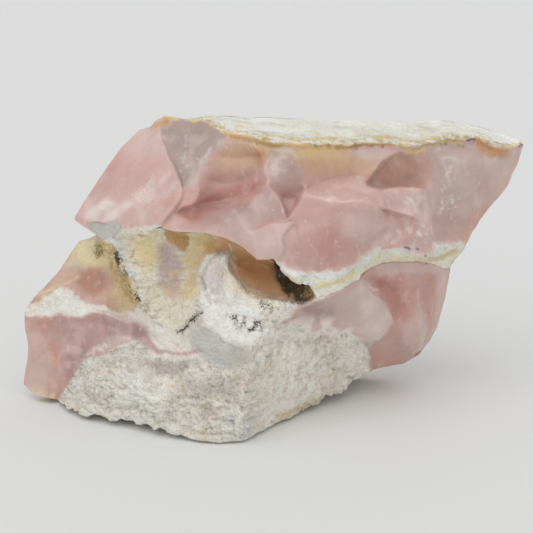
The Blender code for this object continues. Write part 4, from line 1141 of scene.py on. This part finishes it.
def painted(places, points, base, areas, speckles, strokes, colours):
    """The colour of each point, how chalky and how craggy it is, from the areas and strokes in turn, with
    painted shade in the chalk's crevices.
    """
    tint = np.tile(np.array(getattr(colours, base)), (len(points), 1))
    chalky = np.zeros(len(points))
    craggy = np.zeros(len(points))
    broad = shake(points, *BROAD_SHAKE)
    narrow = shake(points, *NARROW_SHAKE)
    for name, corners, soft, strength in areas:
        chalk = name in CRAGGINESS
        swing, shiver = CHALK_SHAKES if chalk else OPAL_SHAKES
        if not chalk:
            swing += OPAL_SOFT_SHAKE * soft
        shaken = places + broad * swing + narrow * shiver
        share = strength * ramp(-outline(shaken, corners), -soft, soft)
        cover(tint, colours, name, share)
        if chalk or strength == 1.0:
            chalky += (float(chalk) - chalky) * share
            craggy += (CRAGGINESS.get(name, 0.0) - craggy) * share
    clear = 1.0 - chalky
    dim(tint, colours.warm_cast, patches(points, "warm cast") * chalky)
    # Painted shade: the chalk is darkened in the crevices between its lumps.
    dim(tint, colours.crevice_shade_tone, ramp(-chalk_form(points), *CREVICE_SHADE_SPAN) * craggy * CREVICE_SHADE_STRENGTH)
    dim(tint, OPAL_DEPTH, clear)
    cover(tint, colours, "opal_pale", patches(points, "veil") * clear)
    dim(tint, colours.cloud_tone, patches(points, "cloud") * clear)
    cover(tint, colours, "opal_pale", patches(points, "bruise") * clear)
    for number, (name, corners, soft, size, level, strength) in enumerate(speckles):
        value = rough(points, size, SPECK_SEED + SPECK_SEED_STEP * number)
        specks = ramp(value, level, level + SPECK_FADE / strength)
        inside = ramp(-outline(places + broad + narrow, corners), -soft, soft)
        cover(tint, colours, name, strength * specks * inside)
    swing, shiver = STROKE_SHAKES
    shaken = places + broad * swing + narrow * shiver
    for name, route, half, soft, strength in strokes:
        ragged = half * (1.0 + STROKE_RAGGEDNESS * narrow[:, 0])
        cover(tint, colours, name, strength * ramp(ragged - stroke(shaken, route), -soft, soft))
    return tint, chalky, craggy


# ---- fine relief ------------------------------------------------------------------------------
# How the chalk's lumps are stretched where they lie and where they stand, and from which X to which
# X, in millimetres, the one turns into the other.
LYING_STRETCH = (0.6, 0.8, 1.15)
STANDING_STRETCH = (1.2, 1.0, 0.5)
LUMPS_TURN = (0.0, 6.0)
# How high the relief stands, in millimetres.
CHALK_HEIGHT = 0.48
CHALK_SWELL = 0.25
FLAKE_HEIGHT = 0.17
SMALL_FLAKE_HEIGHT = 0.07
RIPPLE_HEIGHT = 0.05
OPAL_GRAIN_HEIGHT = 0.02


def lumps(points, size, seed):
    """Rounded lumps from 0 in the narrow crevices between them to 1 on their tops."""
    value = np.abs(rough(points, size, seed, 2))
    return np.clip(value * 1.8, 0.0, 1.0) ** 0.75


def long_lumps(points, stretch):
    """Long low lumps with smaller ones on them; a smaller stretch factor makes them longer that way."""
    pulled = points * np.array(stretch)
    return 0.9 * lumps(pulled, 2.3, 161) + 1.1 * lumps(pulled, 1.2, 171)


def chalk_form(points):
    """The chalk's own height, about -1 to 1: long lumps, lying on the left and standing on the right."""
    lying = long_lumps(points, LYING_STRETCH)
    standing = long_lumps(points, STANDING_STRETCH)
    blend = lying + (standing - lying) * ramp(points[:, 0], *LUMPS_TURN)
    return blend + 0.5 * rough(points, 0.55, 181, 2) - 0.95


def fine_relief(points, way, chalky, craggy):
    """Lifts the skin along its outward direction: chalk lumps and grains, opal flakes and ripples."""
    tilt, inside = flakes(points, 5.0, 81)
    small_tilt, small_inside = flakes(points, 2.2, 181)
    opal_lift = FLAKE_HEIGHT * tilt * ramp(inside, 0.0, 0.08)
    opal_lift += SMALL_FLAKE_HEIGHT * small_tilt * ramp(small_inside, 0.0, 0.1)
    opal_lift += RIPPLE_HEIGHT * waves(points, 3.0, 91)
    opal_lift += OPAL_GRAIN_HEIGHT * rough(points, 0.8, 95, 2)
    chalk_lift = CHALK_HEIGHT * craggy * chalk_form(points) + CHALK_SWELL * rough(points, 3.4, 185, 2)
    lift = (1.0 - chalky) * opal_lift + chalky * chalk_lift
    lift *= ramp(points[:, 2], *RELIEF_RISE)
    return points + lift[:, None] * way


# ---- making pieces ----------------------------------------------------------------------------
def in_metres(points):
    """From the drawing frame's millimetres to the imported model's frame."""
    return (points - np.array(FRAME_MIDDLE)) * FRAME_SCALE * MM


def placed(name, data):
    """A new object in the scene that holds a camera, a lamp or a mesh."""
    holder = bpy.data.objects.new(name, data)
    bpy.context.scene.collection.objects.link(holder)
    return holder


def new_piece(name, points, faces, material):
    """A mesh object at the origin, from points in metres and faces as rows of point numbers."""
    mesh = bpy.data.meshes.new(name)
    mesh.from_pydata(points.tolist(), [], faces.tolist())
    mesh.validate()
    mesh.materials.append(material)
    mesh.shade_smooth()
    piece = placed(name, mesh)
    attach(piece, "root")
    return piece


def bake_map(mesh, shape):
    """A flat layout of the two grids side by side, with a margin round each."""
    down = np.linspace(1.0 - BAKE_MARGIN, BAKE_MARGIN, shape[0])[:, None]
    across = 0.5 * np.linspace(BAKE_MARGIN, 1.0 - BAKE_MARGIN, shape[1])[None, :]
    sides = []
    for shift, order in ((0.0, FRONT_ORDER), (0.5, BACK_ORDER)):
        grid = np.stack(np.broadcast_arrays(across + shift, down), axis=-1)
        sides.append(quad_corners(grid, order).reshape(-1, 2))
    layer = mesh.uv_layers.new(name="OFBake")
    layer.uv.foreach_set("vector", np.concatenate(sides).ravel())


def store_number(mesh, name, values):
    """Keeps one number for each point of the mesh, for the material to read."""
    layer = mesh.attributes.new(name, "FLOAT", "POINT")
    layer.data.foreach_set("value", np.asarray(values, np.float32))


def store_colour(mesh, name, values):
    """Keeps one colour for each point of the mesh, for the material to read."""
    layer = mesh.attributes.new(name, "FLOAT_COLOR", "POINT")
    full = np.column_stack([values, np.ones(len(values))])
    layer.data.foreach_set("color", np.asarray(full, np.float32).ravel())


# ---- materials --------------------------------------------------------------------------------
STONE_INPUTS = {"IOR": 1.45, "Subsurface Radius": (1.0, 0.5, 0.4), "Subsurface Scale": 0.0009}
MANGANESE_DARK = (0.018, 0.014, 0.011, 1.0)
MANGANESE_BROWN = (0.20, 0.13, 0.07, 1.0)


def node(tree, kind, **settings):
    """Adds a node and sets its properties, or its inputs by name."""
    made = tree.nodes.new(kind)
    for key, value in settings.items():
        if hasattr(made, key):
            setattr(made, key, value)
        else:
            made.inputs[key.replace("_", " ")].default_value = value
    return made


def noise(tree, coords, scale, detail):
    """A noise texture's value at object coordinates; scale is in waves to the metre."""
    texture = node(tree, "ShaderNodeTexNoise", Scale=scale, Detail=detail)
    tree.links.new(coords, texture.inputs["Vector"])
    return texture.outputs["Fac"]


def times_plus(tree, first, factor, extra):
    """The first value times the factor plus the extra; each is a socket or a number."""
    made = node(tree, "ShaderNodeMath", operation="MULTIPLY_ADD")
    for socket, value in zip(made.inputs, (first, factor, extra)):
        if isinstance(value, float):
            socket.default_value = value
        else:
            tree.links.new(value, socket)
    return made.outputs[0]


def set_inputs(made, values):
    """Sets several of a node's inputs, by name."""
    for name, value in values.items():
        made.inputs[name].default_value = value


def stored(tree, name, output):
    """A value that the mesh keeps for each point."""
    return node(tree, "ShaderNodeAttribute", attribute_name=name).outputs[output]


def scaled_colour(tree, colour, factor):
    """A colour made lighter or darker by a factor."""
    made = node(tree, "ShaderNodeVectorMath", operation="SCALE")
    tree.links.new(colour, made.inputs[0])
    tree.links.new(factor, made.inputs["Scale"])
    return made.outputs[0]


def add_bump(tree, shader, height, strength, distance):
    """Turns a height into a slight change of the surface's direction."""
    bump = node(tree, "ShaderNodeBump", Strength=strength, Distance=distance)
    tree.links.new(height, bump.inputs["Height"])
    tree.links.new(bump.outputs["Normal"], shader.inputs["Normal"])


def empty_material(name):
    """A new material, with its node tree, its shader and the object's own coordinates."""
    material = bpy.data.materials.new(name)
    material.use_nodes = True
    tree = material.node_tree
    coords = node(tree, "ShaderNodeTexCoord").outputs["Object"]
    return material, tree, tree.nodes["Principled BSDF"], coords


def stone_material():
    """Pink opal and white chalk: the stored colour, with fine mottling, and matte where it is chalk."""
    material, tree, shader, coords = empty_material("opal_and_chalk")
    chalky = stored(tree, "chalky", "Fac")
    cloud = noise(tree, coords, 260.0, 4.0)
    fine = noise(tree, coords, 2300.0, 3.0)
    opal_swing = times_plus(tree, cloud, 0.34, 0.83)
    grit_swing = times_plus(tree, fine, 0.9, -0.45)
    grit_share = times_plus(tree, chalky, 0.22, 0.10)
    factor = times_plus(tree, grit_swing, grit_share, opal_swing)
    colour = scaled_colour(tree, stored(tree, "tint", "Color"), factor)
    tree.links.new(colour, shader.inputs["Base Color"])
    for name, rise, start in (("Roughness", 0.48, 0.42), ("Subsurface Weight", -0.35, 0.45)):
        tree.links.new(times_plus(tree, chalky, rise, start), shader.inputs[name])
    set_inputs(shader, STONE_INPUTS)
    level = times_plus(tree, fine, 1.6, -1.5)
    pitted = times_plus(tree, noise(tree, coords, 1000.0, 4.0), 1.4, level)
    base = times_plus(tree, chalky, 0.3, 0.05)
    depth = times_plus(tree, stored(tree, "craggy", "Fac"), 0.65, base)
    add_bump(tree, shader, times_plus(tree, pitted, depth, 0.0), 1.0, 0.0005)
    return material


def manganese_material():
    """Crumbly black-brown mineral."""
    material, tree, shader, coords = empty_material("manganese")
    mottled = node(tree, "ShaderNodeMix", data_type="RGBA")
    set_inputs(mottled, {"A": MANGANESE_DARK, "B": MANGANESE_BROWN})
    tree.links.new(noise(tree, coords, 1800.0, 3.0), mottled.inputs["Factor"])
    tree.links.new(mottled.outputs["Result"], shader.inputs["Base Color"])
    set_inputs(shader, {"Roughness": 0.75})
    add_bump(tree, shader, noise(tree, coords, 6000.0, 2.0), 0.5, 0.0001)
    return material


# ---- settings, operators and panel ------------------------------------------------------------
def hue(name, description, default):
    """A colour setting with its plain name."""
    return bpy.props.FloatVectorProperty(
        name=name, description=description, default=default, subtype="COLOR", size=3, min=0.0, max=1.0
    )


def number_setting(name, description, default, **limits):
    """A number setting with its plain name."""
    return bpy.props.FloatProperty(name=name, description=description, default=default, min=0.0, **limits)


class OpalColours(bpy.types.PropertyGroup):
    """The colours of the opal, the chalk and their stains"""

    opal_pink: hue("Opal pink", "Body colour of the opal's lit faces", (0.76, 0.52, 0.47))
    opal_pale: hue("Opal pale", "Milky pink of thin edges and scars", (0.78, 0.64, 0.60))
    opal_rose: hue("Opal rose", "Deeper pink of the opal's hollows", (0.64, 0.41, 0.36))
    deep_rose: hue("Deep rose", "Dark rose of the deepest folds", (0.56, 0.29, 0.24))
    opal_mauve: hue("Opal mauve", "Greyish mauve faces of the opal", (0.66, 0.50, 0.44))
    blue_grey: hue("Opal blue-grey", "Cool milky veil on the opal", (0.58, 0.47, 0.43))
    purple: hue("Opal purple", "Dark purple clouds in the opal", (0.42, 0.27, 0.27))
    peach: hue("Opal peach", "Warm glow under the rind", (0.72, 0.50, 0.33))
    red_rose: hue("Red rose", "Saturated rose of the deep folds", (0.66, 0.36, 0.31))
    deep_amber: hue("Deep amber", "Dark brown crust of the hole's right side", (0.36, 0.22, 0.11))
    wedge_glow: hue("Wedge glow", "Rose glow in the low left wedge", (0.54, 0.29, 0.20))
    end_pale: hue("End pale", "Paler pink of the left end", (0.76, 0.58, 0.50))
    dusk_mauve: hue("Dusk mauve", "Darker mauve face beside the cheek", (0.49, 0.375, 0.335))
    pale_yellow: hue("Pale yellow", "Pale yellow of the wedge's crest", (0.86, 0.79, 0.55))
    # Orange-pink of the opal, partly painted glow where light comes through thin edges.
    salmon: hue("Opal salmon", "Orange-pink spots in the opal", (0.66, 0.34, 0.24))
    rust: hue("Rust", "Brown-red stain under the rind", (0.62, 0.33, 0.17))
    deep_brown: hue("Deep brown", "Warm dark wall of the notch", (0.68, 0.45, 0.35))
    side_pink: hue("Side pink", "Pink of the low left face", (0.63, 0.40, 0.36))
    side_mauve: hue("Side mauve", "Mauve cloud on the low left face", (0.54, 0.35, 0.34))
    wedge_pink: hue("Wedge pink", "Pink of the low left wedge", (0.68, 0.47, 0.37))
    ochre_mauve: hue("Ochre mauve", "Brownish mauve at the wedge's foot", (0.56, 0.38, 0.26))
    plate_mauve: hue("Plate mauve", "Mauve of the shell-edged plate", (0.71, 0.55, 0.505))
    amber_brown: hue("Amber brown", "Brown translucent lining of the hole", (0.80, 0.50, 0.28))
    amber_warm: hue("Amber", "Lighter amber of thin brown edges", (0.62, 0.37, 0.155))
    chalk_white: hue("Chalk white", "Clean chalky matrix", (0.96, 0.93, 0.855))
    # Painted light: the lighter chalk of the right face.
    chalk_painted_light: hue("Chalk ivory", "Lightest warm chalk, on the right", (0.98, 0.95, 0.88))
    chalk_bright: hue("Chalk bright", "Whitest chalk", (0.93, 0.93, 0.89))
    chalk_cream: hue("Chalk cream", "Creamy chalk", (0.84, 0.80, 0.70))
    # Smooth grey chalk; on the white block's front face it is painted shade.
    grey_chalk_and_shade: hue("Chalk grey", "Smooth grey chalk", (0.56, 0.555, 0.52))
    # Painted shade: pinkish grey specks of shade in the chalk.
    pink_shade: hue("Pink shade", "Pinkish grey patches in the chalk", (0.64, 0.55, 0.49))
    # Painted shade on the chalk.
    chalk_painted_shade: hue("Chalk shade", "Dull mauve-grey chalk", (0.62, 0.58, 0.55))
    seam_cream: hue("Seam cream", "Cream of the chalk seam", (0.92, 0.88, 0.76))
    seam_ochre: hue("Seam ochre", "Ochre veins in the chalk", (0.60, 0.46, 0.22))
    bowl_cream: hue("Hollow cream", "Cream lining of the hollow", (0.88, 0.82, 0.67))
    bowl_ochre: hue("Hollow ochre", "Yellow stain in the hollow", (0.76, 0.60, 0.36))
    bowl_mauve: hue("Hollow mauve", "Mauve stain in the hollow", (0.60, 0.48, 0.44))
    speck_shade: hue("Speck shade", "Grey shade round the black specks", (0.36, 0.35, 0.30))
    horn_mauve: hue("Horn mauve", "Mauve stain on the horn", (0.70, 0.63, 0.63))
    hole_grey: hue("Hole grey", "Grey-brown slope in the hole", (0.84, 0.73, 0.57))
    yellow_cream: hue("Yellow cream", "Yellow top of the wedge", (0.74, 0.60, 0.34))
    ochre: hue("Ochre", "Ochre line under the rind", (0.58, 0.40, 0.13))
    # Painted shade: the tone that darkens the chalk in its crevices.
    crevice_shade_tone: hue("Crevice tone", "Multiplies chalk in its crevices", (0.66, 0.50, 0.40))
    cloud_tone: hue("Cloud tone", "Multiplies opal in its darker clouds", (0.90, 0.78, 0.74))
    # Milky veils of the opal, and the painted highlight streaks on the cheek.
    milky: hue("Milky", "Brightest milky zones of the opal", (0.92, 0.80, 0.75))
    rind_white: hue("Rind white", "White crust of the flat top", (0.87, 0.86, 0.77))
    shelf_mauve: hue("Shelf mauve", "Mauve pink of the shelf under the dish", (0.52, 0.35, 0.32))
    warm_cast: hue("Warm cast", "Multiplies chalk in its warmer patches", (0.95, 0.91, 0.84))
    chalk_smooth: hue("Smooth chalk", "Smoother, slightly pink chalk", (0.86, 0.83, 0.77))
    rind_glow: hue("Rind glow", "Yellow glow just under the rind", (0.82, 0.62, 0.32))
    gold: hue("Gold", "Golden crust along the rind", (0.74, 0.58, 0.28))
    olive: hue("Olive", "Olive-brown stain", (0.30, 0.24, 0.09))
    limonite: hue("Limonite", "Brown iron stain", (0.48, 0.33, 0.14))
    soot: hue("Manganese black", "Black mineral sprays", (0.035, 0.028, 0.022))
    violet: hue("Violet", "Blue-violet specks", (0.16, 0.14, 0.30))
    white_scratch: hue("Scratch", "White bruise on the opal", (0.84, 0.78, 0.76))


class OpalStage(bpy.types.PropertyGroup):
    """The table and the light"""

    table_grey: hue("Table", "Colour of the table", (0.80, 0.81, 0.80))
    lamp_strength: number_setting("Lamp", "Strength of the wide overhead light", 0.9)
    lamp_spread: number_setting("Lamp spread", "How wide that light is", 1.2, max=3.1, subtype="ANGLE")
    air_light: number_setting("Air", "Strength of the light from all round", 0.66)


# Places across the sheet between which the rind sets in, turns whiter, and its gold fringe narrows.
RIND_START = (192.0, 204.0)
RIND_END = (460.0, 500.0)
GOLD_NARROWS = (440.0, 475.0)
# How far up from the rind's edge the gold and the brown fringes reach, in sheet units.
GOLD_DEPTHS = (15.0, 5.0)
BROWN_DEPTH = 9.0
RIND_CRAGGINESS = 0.32


def upper_paint(points, places, colours):
    """The upper block's colours: opal with its stains, under a white rind."""
    tint, chalky, craggy = painted(
        places, points, "opal_pink", UPPER_AREAS, UPPER_SPECKLES, UPPER_STROKES, colours
    )
    across, down = places.T
    rind_line = np.interp(across, *np.array(RIND_EDGE).T[:2])
    above = rind_line - down + 0.9 * rough(points, 1.2, 77)
    above += 1.3 * rough(points * np.array((0.5, 1.0, 1.0)), 0.7, 76)
    rind = ramp(above, -0.8, 0.8) * ramp(across, *RIND_START)
    white = np.tile(np.array(colours.rind_white), (len(points), 1))
    gold_depth = GOLD_DEPTHS[0] + (GOLD_DEPTHS[1] - GOLD_DEPTHS[0]) * ramp(across, *GOLD_NARROWS)
    cover(white, colours, "seam_cream", patches(points, "rind streaks"))
    cover(white, colours, "chalk_bright", patches(points, "rind white", ramp(across, *RIND_END)))
    cover(white, colours, "olive", patches(points, "rind stain"))
    cover(white, colours, "gold", patches(points, "rind gold") * ramp(above, gold_depth, 1.0))
    cover(white, colours, "limonite", patches(points, "rind brown") * ramp(above, BROWN_DEPTH, 1.0))
    tint += (white - tint) * rind[:, None]
    far_line = np.interp(across, *np.array(UPPER_TOP).T[:2])
    crust = RIND_CRAGGINESS * rind * ramp(down - far_line, 0.5, 4.0)
    return tint, np.maximum(chalky, rind), np.maximum(craggy, crust)


def lower_paint(points, places, colours):
    """The lower block's colours: opal and chalk with their stains."""
    return painted(places, points, "opal_rose", LOWER_AREAS, LOWER_SPECKLES, LOWER_STROKES, colours)


def build_block(name, block, paint, colours, material):
    """Makes one block as a piece: shape, paint, fine relief and the baking map."""
    points, places, quads, shape = block
    tint, chalky, craggy = paint(points, places, colours)
    points = fine_relief(points, outward(points, quads), chalky, craggy)
    points[:, 2] = np.maximum(points[:, 2], 0.0)
    piece = new_piece(name, in_metres(points), quads, material)
    if len(piece.data.polygons) != len(quads):
        raise RuntimeError(name + " lost faces")
    bake_map(piece.data, shape)
    store_colour(piece.data, "tint", tint)
    store_number(piece.data, "chalky", chalky)
    store_number(piece.data, "craggy", craggy)
    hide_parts(NODE)


def finished_front(name, cells):
    """A block's finished front, point by point.

    Gives the points and outward ways in the drawing frame, the sheet places, and the stored values.
    """
    mesh = bpy.data.objects[name].data
    kept = (cells[0] + 1) * (cells[1] + 1)
    values = []
    for layer, field, width in (
        (mesh.vertices, "co", 3),
        (mesh.vertex_normals, "vector", 3),
        (mesh.attributes["tint"].data, "color", 4),
        (mesh.attributes["craggy"].data, "value", 1),
    ):
        flat = np.empty(len(mesh.vertices) * width, np.float32)
        layer.foreach_get(field, flat)
        values.append(flat.reshape(-1, width)[:kept].astype(float))
    points, ways, tint, craggy = values
    points = points / (FRAME_SCALE * MM) + np.array(FRAME_MIDDLE)
    eye, right, up, away = sheet_axes()
    arm = points - eye
    reach = LOOK_DISTANCE / (arm @ away) / SHEET_UNIT
    places = np.stack([SHEET_MIDDLE + arm @ right * reach, SHEET_MIDDLE - arm @ up * reach], axis=1)
    return points, ways, places, tint[:, :3], craggy[:, 0]


def ball_shape():
    """Twelve corners of a ball of radius one and its twenty faces, outward."""
    tall = 0.5 * (1.0 + 5.0**0.5)
    flat = np.array([(0.0, side, end * tall) for side in (-1.0, 1.0) for end in (-1.0, 1.0)])
    corners = np.concatenate([np.roll(flat, turn, axis=1) for turn in range(3)])
    edge = 2.0
    faces = []
    for trio in itertools.combinations(range(12), 3):
        first, second, third = corners[list(trio)]
        sides = np.linalg.norm((first - second, second - third, third - first), axis=1)
        if np.allclose(sides, edge):
            outside = np.cross(second - first, third - first) @ first > 0.0
            faces.append(trio if outside else trio[::-1])
    return corners / np.linalg.norm(corners[0]), np.array(faces)


def lump_piece(name, centres, ways, sizes, seed, material):
    """Small lumps in one mesh: dented balls, turned at random, pressed flat against the skin they sit on."""
    corners, faces = ball_shape()
    dice = np.random.RandomState(seed)
    dents = dice.uniform(*LUMP_DENTS, (len(centres), len(corners)))
    turns = np.linalg.qr(dice.normal(size=(len(centres), 3, 3)))[0]
    turns *= np.linalg.det(turns)[:, None, None]
    arms = np.einsum("nij,kj->nki", turns, corners) * (dents * sizes[:, None])[:, :, None]
    lean = np.einsum("nki,ni->nk", arms, ways)
    arms -= LUMP_PRESS * lean[:, :, None] * ways[:, None, :]
    points = (centres[:, None, :] + arms).reshape(-1, 3)
    trios = (faces[None] + len(corners) * np.arange(len(centres))[:, None, None]).reshape(-1, 3)
    piece = new_piece(name, in_metres(points), trios, material)
    side = int(np.ceil(len(trios) ** 0.5))
    cell = np.stack(np.divmod(np.arange(len(trios)), side), axis=1)[:, None, :]
    corner = np.array(((0.15, 0.15), (0.85, 0.15), (0.15, 0.85)))[None]
    layer = piece.data.uv_layers.new(name="OFBake")
    layer.uv.foreach_set("vector", ((cell + corner) / side).ravel())
    return piece


class OPAL_OT_upper(bpy.types.Operator):
    """Build the upper block: leaning opal under a flat white rind"""

    bl_idname = "opal.upper"
    bl_label = "Upper block"

    def execute(self, context):
        colours = context.scene.opal_colours
        build_block("opal_upper", upper_block(), upper_paint, colours, stone_material())
        return {"FINISHED"}


class OPAL_OT_lower(bpy.types.Operator):
    """Build the lower block: chalk prow, hollow, horn, wedge and the opal plates"""

    bl_idname = "opal.lower"
    bl_label = "Lower block"

    def execute(self, context):
        colours = context.scene.opal_colours
        material = bpy.data.materials.get("opal_and_chalk") or stone_material()
        build_block("opal_lower", lower_block(), lower_paint, colours, material)
        return {"FINISHED"}


class OPAL_OT_grains(bpy.types.Operator):
    """Scatter the black manganese grains over the hollow, the white block and the creases"""

    bl_idname = "opal.grains"
    bl_label = "Manganese grains"

    def execute(self, context):
        points, ways, places, _, _ = finished_front("opal_lower", LOWER_CELLS)
        clumps = patches(points, "grain clumps")
        dice = np.random.RandomState(GRAIN_SEEDS[0])
        picked, sizes = [], []
        for corners, count, smallest, largest in GRAIN_PATCHES:
            weight = clumps * ramp(-outline(places, corners), -1.0, 4.0)
            chosen = dice.choice(len(points), count, p=weight / weight.sum())
            picked.append(chosen)
            sizes.append(smallest + (largest - smallest) * dice.rand(count) ** SIZE_POWER)
        picked, sizes = np.concatenate(picked), np.concatenate(sizes)
        centres = points[picked] + dice.uniform(-GRAIN_JITTER, GRAIN_JITTER, (len(picked), 3))
        material = manganese_material()
        lump_piece("manganese_grains", centres, ways[picked], sizes, GRAIN_SEEDS[1], material)
        return {"FINISHED"}


class OPAL_OT_crumbs(bpy.types.Operator):
    """Scatter chalk crumbs over the craggy chalk"""

    bl_idname = "opal.crumbs"
    bl_label = "Chalk crumbs"

    def execute(self, context):
        points, ways, _, tint, craggy = finished_front("opal_lower", LOWER_CELLS)
        dice = np.random.RandomState(CRUMB_SEEDS[0])
        weight = ramp(craggy, 0.7, 1.0) * ramp(chalk_form(points), -0.6, 0.5)
        weight *= ramp(points[:, 2], 1.0, 3.0)
        picked = dice.choice(len(points), CRUMB_COUNT, replace=False, p=weight / weight.sum())
        low, high = CRUMB_SIZES
        sizes = low + (high - low) * dice.rand(len(picked)) ** SIZE_POWER
        material = bpy.data.materials["opal_and_chalk"]
        centres = points[picked] - CRUMB_SINK * sizes[:, None] * ways[picked]
        piece = lump_piece("chalk_crumbs", centres, ways[picked], sizes, CRUMB_SEEDS[1], material)
        shade = dice.uniform(*CRUMB_SHADES, (len(picked), 1))
        each = len(piece.data.vertices) // len(picked)
        store_colour(piece.data, "tint", np.repeat(np.clip(tint[picked] * shade, 0.0, 1.0), each, axis=0))
        for name in ("chalky", "craggy"):
            store_number(piece.data, name, np.ones(len(piece.data.vertices)))
        return {"FINISHED"}


def look_at(thing, place, target):
    """Places an object and turns its -Z towards the target, with Y up."""
    way = np.array(target, float) - np.array(place, float)
    away = -unit(way)
    right = unit(np.cross((0.0, 0.0, 1.0), away))
    up = np.cross(away, right)
    matrix = np.eye(4)
    matrix[:3, 0], matrix[:3, 1], matrix[:3, 2], matrix[:3, 3] = right, up, away, place
    thing.matrix_world = Matrix(matrix.tolist())


def add_camera():
    """The camera stands at the drawing point."""
    camera = bpy.data.cameras.new("camera")
    for name, value in CAMERA_SETTINGS.items():
        setattr(camera, name, value)
    holder = placed("camera", camera)
    look_at(holder, in_metres(sheet_axes()[0]), in_metres(np.array(LOOK_AT)))
    bpy.context.scene.camera = holder


def add_table(stage):
    """A plain round table top under the stone."""
    turns = np.linspace(0.0, 2.0 * np.pi, TABLE_CORNERS + 1)[:-1]
    rim = TABLE_RADIUS * np.stack([np.cos(turns), np.sin(turns), 0.0 * turns], axis=1)
    mesh = bpy.data.meshes.new("table")
    mesh.from_pydata(rim.tolist(), [], [list(range(len(rim)))])
    material = bpy.data.materials.new("table")
    material.use_nodes = True
    shader = material.node_tree.nodes["Principled BSDF"]
    set_inputs(shader, {"Base Color": (*stage.table_grey, 1.0), **TABLE_INPUTS})
    mesh.materials.append(material)
    table = placed("table", mesh)


def add_light(stage):
    """Soft light from all round, and a wide even light from high up in front, a little to the left."""
    world = bpy.data.worlds.new("air")
    world.use_nodes = True
    background = world.node_tree.nodes["Background"]
    set_inputs(background, {"Color": (1.0, 1.0, 1.0, 1.0), "Strength": stage.air_light})
    bpy.context.scene.world = world
    lamp = bpy.data.lights.new("lamp", "SUN")
    lamp.energy = stage.lamp_strength
    lamp.angle = stage.lamp_spread
    look_at(placed("lamp", lamp), LAMP_PLACE, (0.0, 0.0, 0.0))


class OPAL_OT_stage(bpy.types.Operator):
    """Set the table, the soft light and the camera"""

    bl_idname = "opal.stage"
    bl_label = "Stage"

    def execute(self, context):
        add_table(context.scene.opal_stage)
        add_light(context.scene.opal_stage)
        add_camera()
        context.scene.view_settings.view_transform = "Standard"
        return {"FINISHED"}


class OPAL_PT_panel(bpy.types.Panel):
    """Lists the settings and the steps that build the specimen"""

    bl_label = "Raw Pink Opal"
    bl_idname = "OPAL_PT_panel"
    bl_space_type = "VIEW_3D"
    bl_region_type = "UI"
    bl_category = "Opal"

    def draw(self, context):
        scene = context.scene
        for group in (scene.opal_colours, scene.opal_stage):
            for name in type(group).__annotations__:
                self.layout.prop(group, name)
        for step in STEPS:
            self.layout.operator(step.bl_idname)


STEPS = (OPAL_OT_upper, OPAL_OT_lower, OPAL_OT_grains, OPAL_OT_crumbs, OPAL_OT_stage)
CLASSES = (OpalColours, OpalStage, *STEPS, OPAL_PT_panel)


def register():
    """Makes the settings, the operators and the panel known."""
    for kind in CLASSES:
        bpy.utils.register_class(kind)
    bpy.types.Scene.opal_colours = bpy.props.PointerProperty(type=OpalColours)
    bpy.types.Scene.opal_stage = bpy.props.PointerProperty(type=OpalStage)


def unregister():
    """Takes them away again, in the opposite order."""
    del bpy.types.Scene.opal_colours
    del bpy.types.Scene.opal_stage
    for kind in reversed(CLASSES):
        bpy.utils.unregister_class(kind)


def main():
    """Makes the settings known and runs every step in order."""
    register()
    for step in STEPS:
        group, name = step.bl_idname.split(".")
        getattr(getattr(bpy.ops, group), name)()


if __name__ == "__main__":
    main()
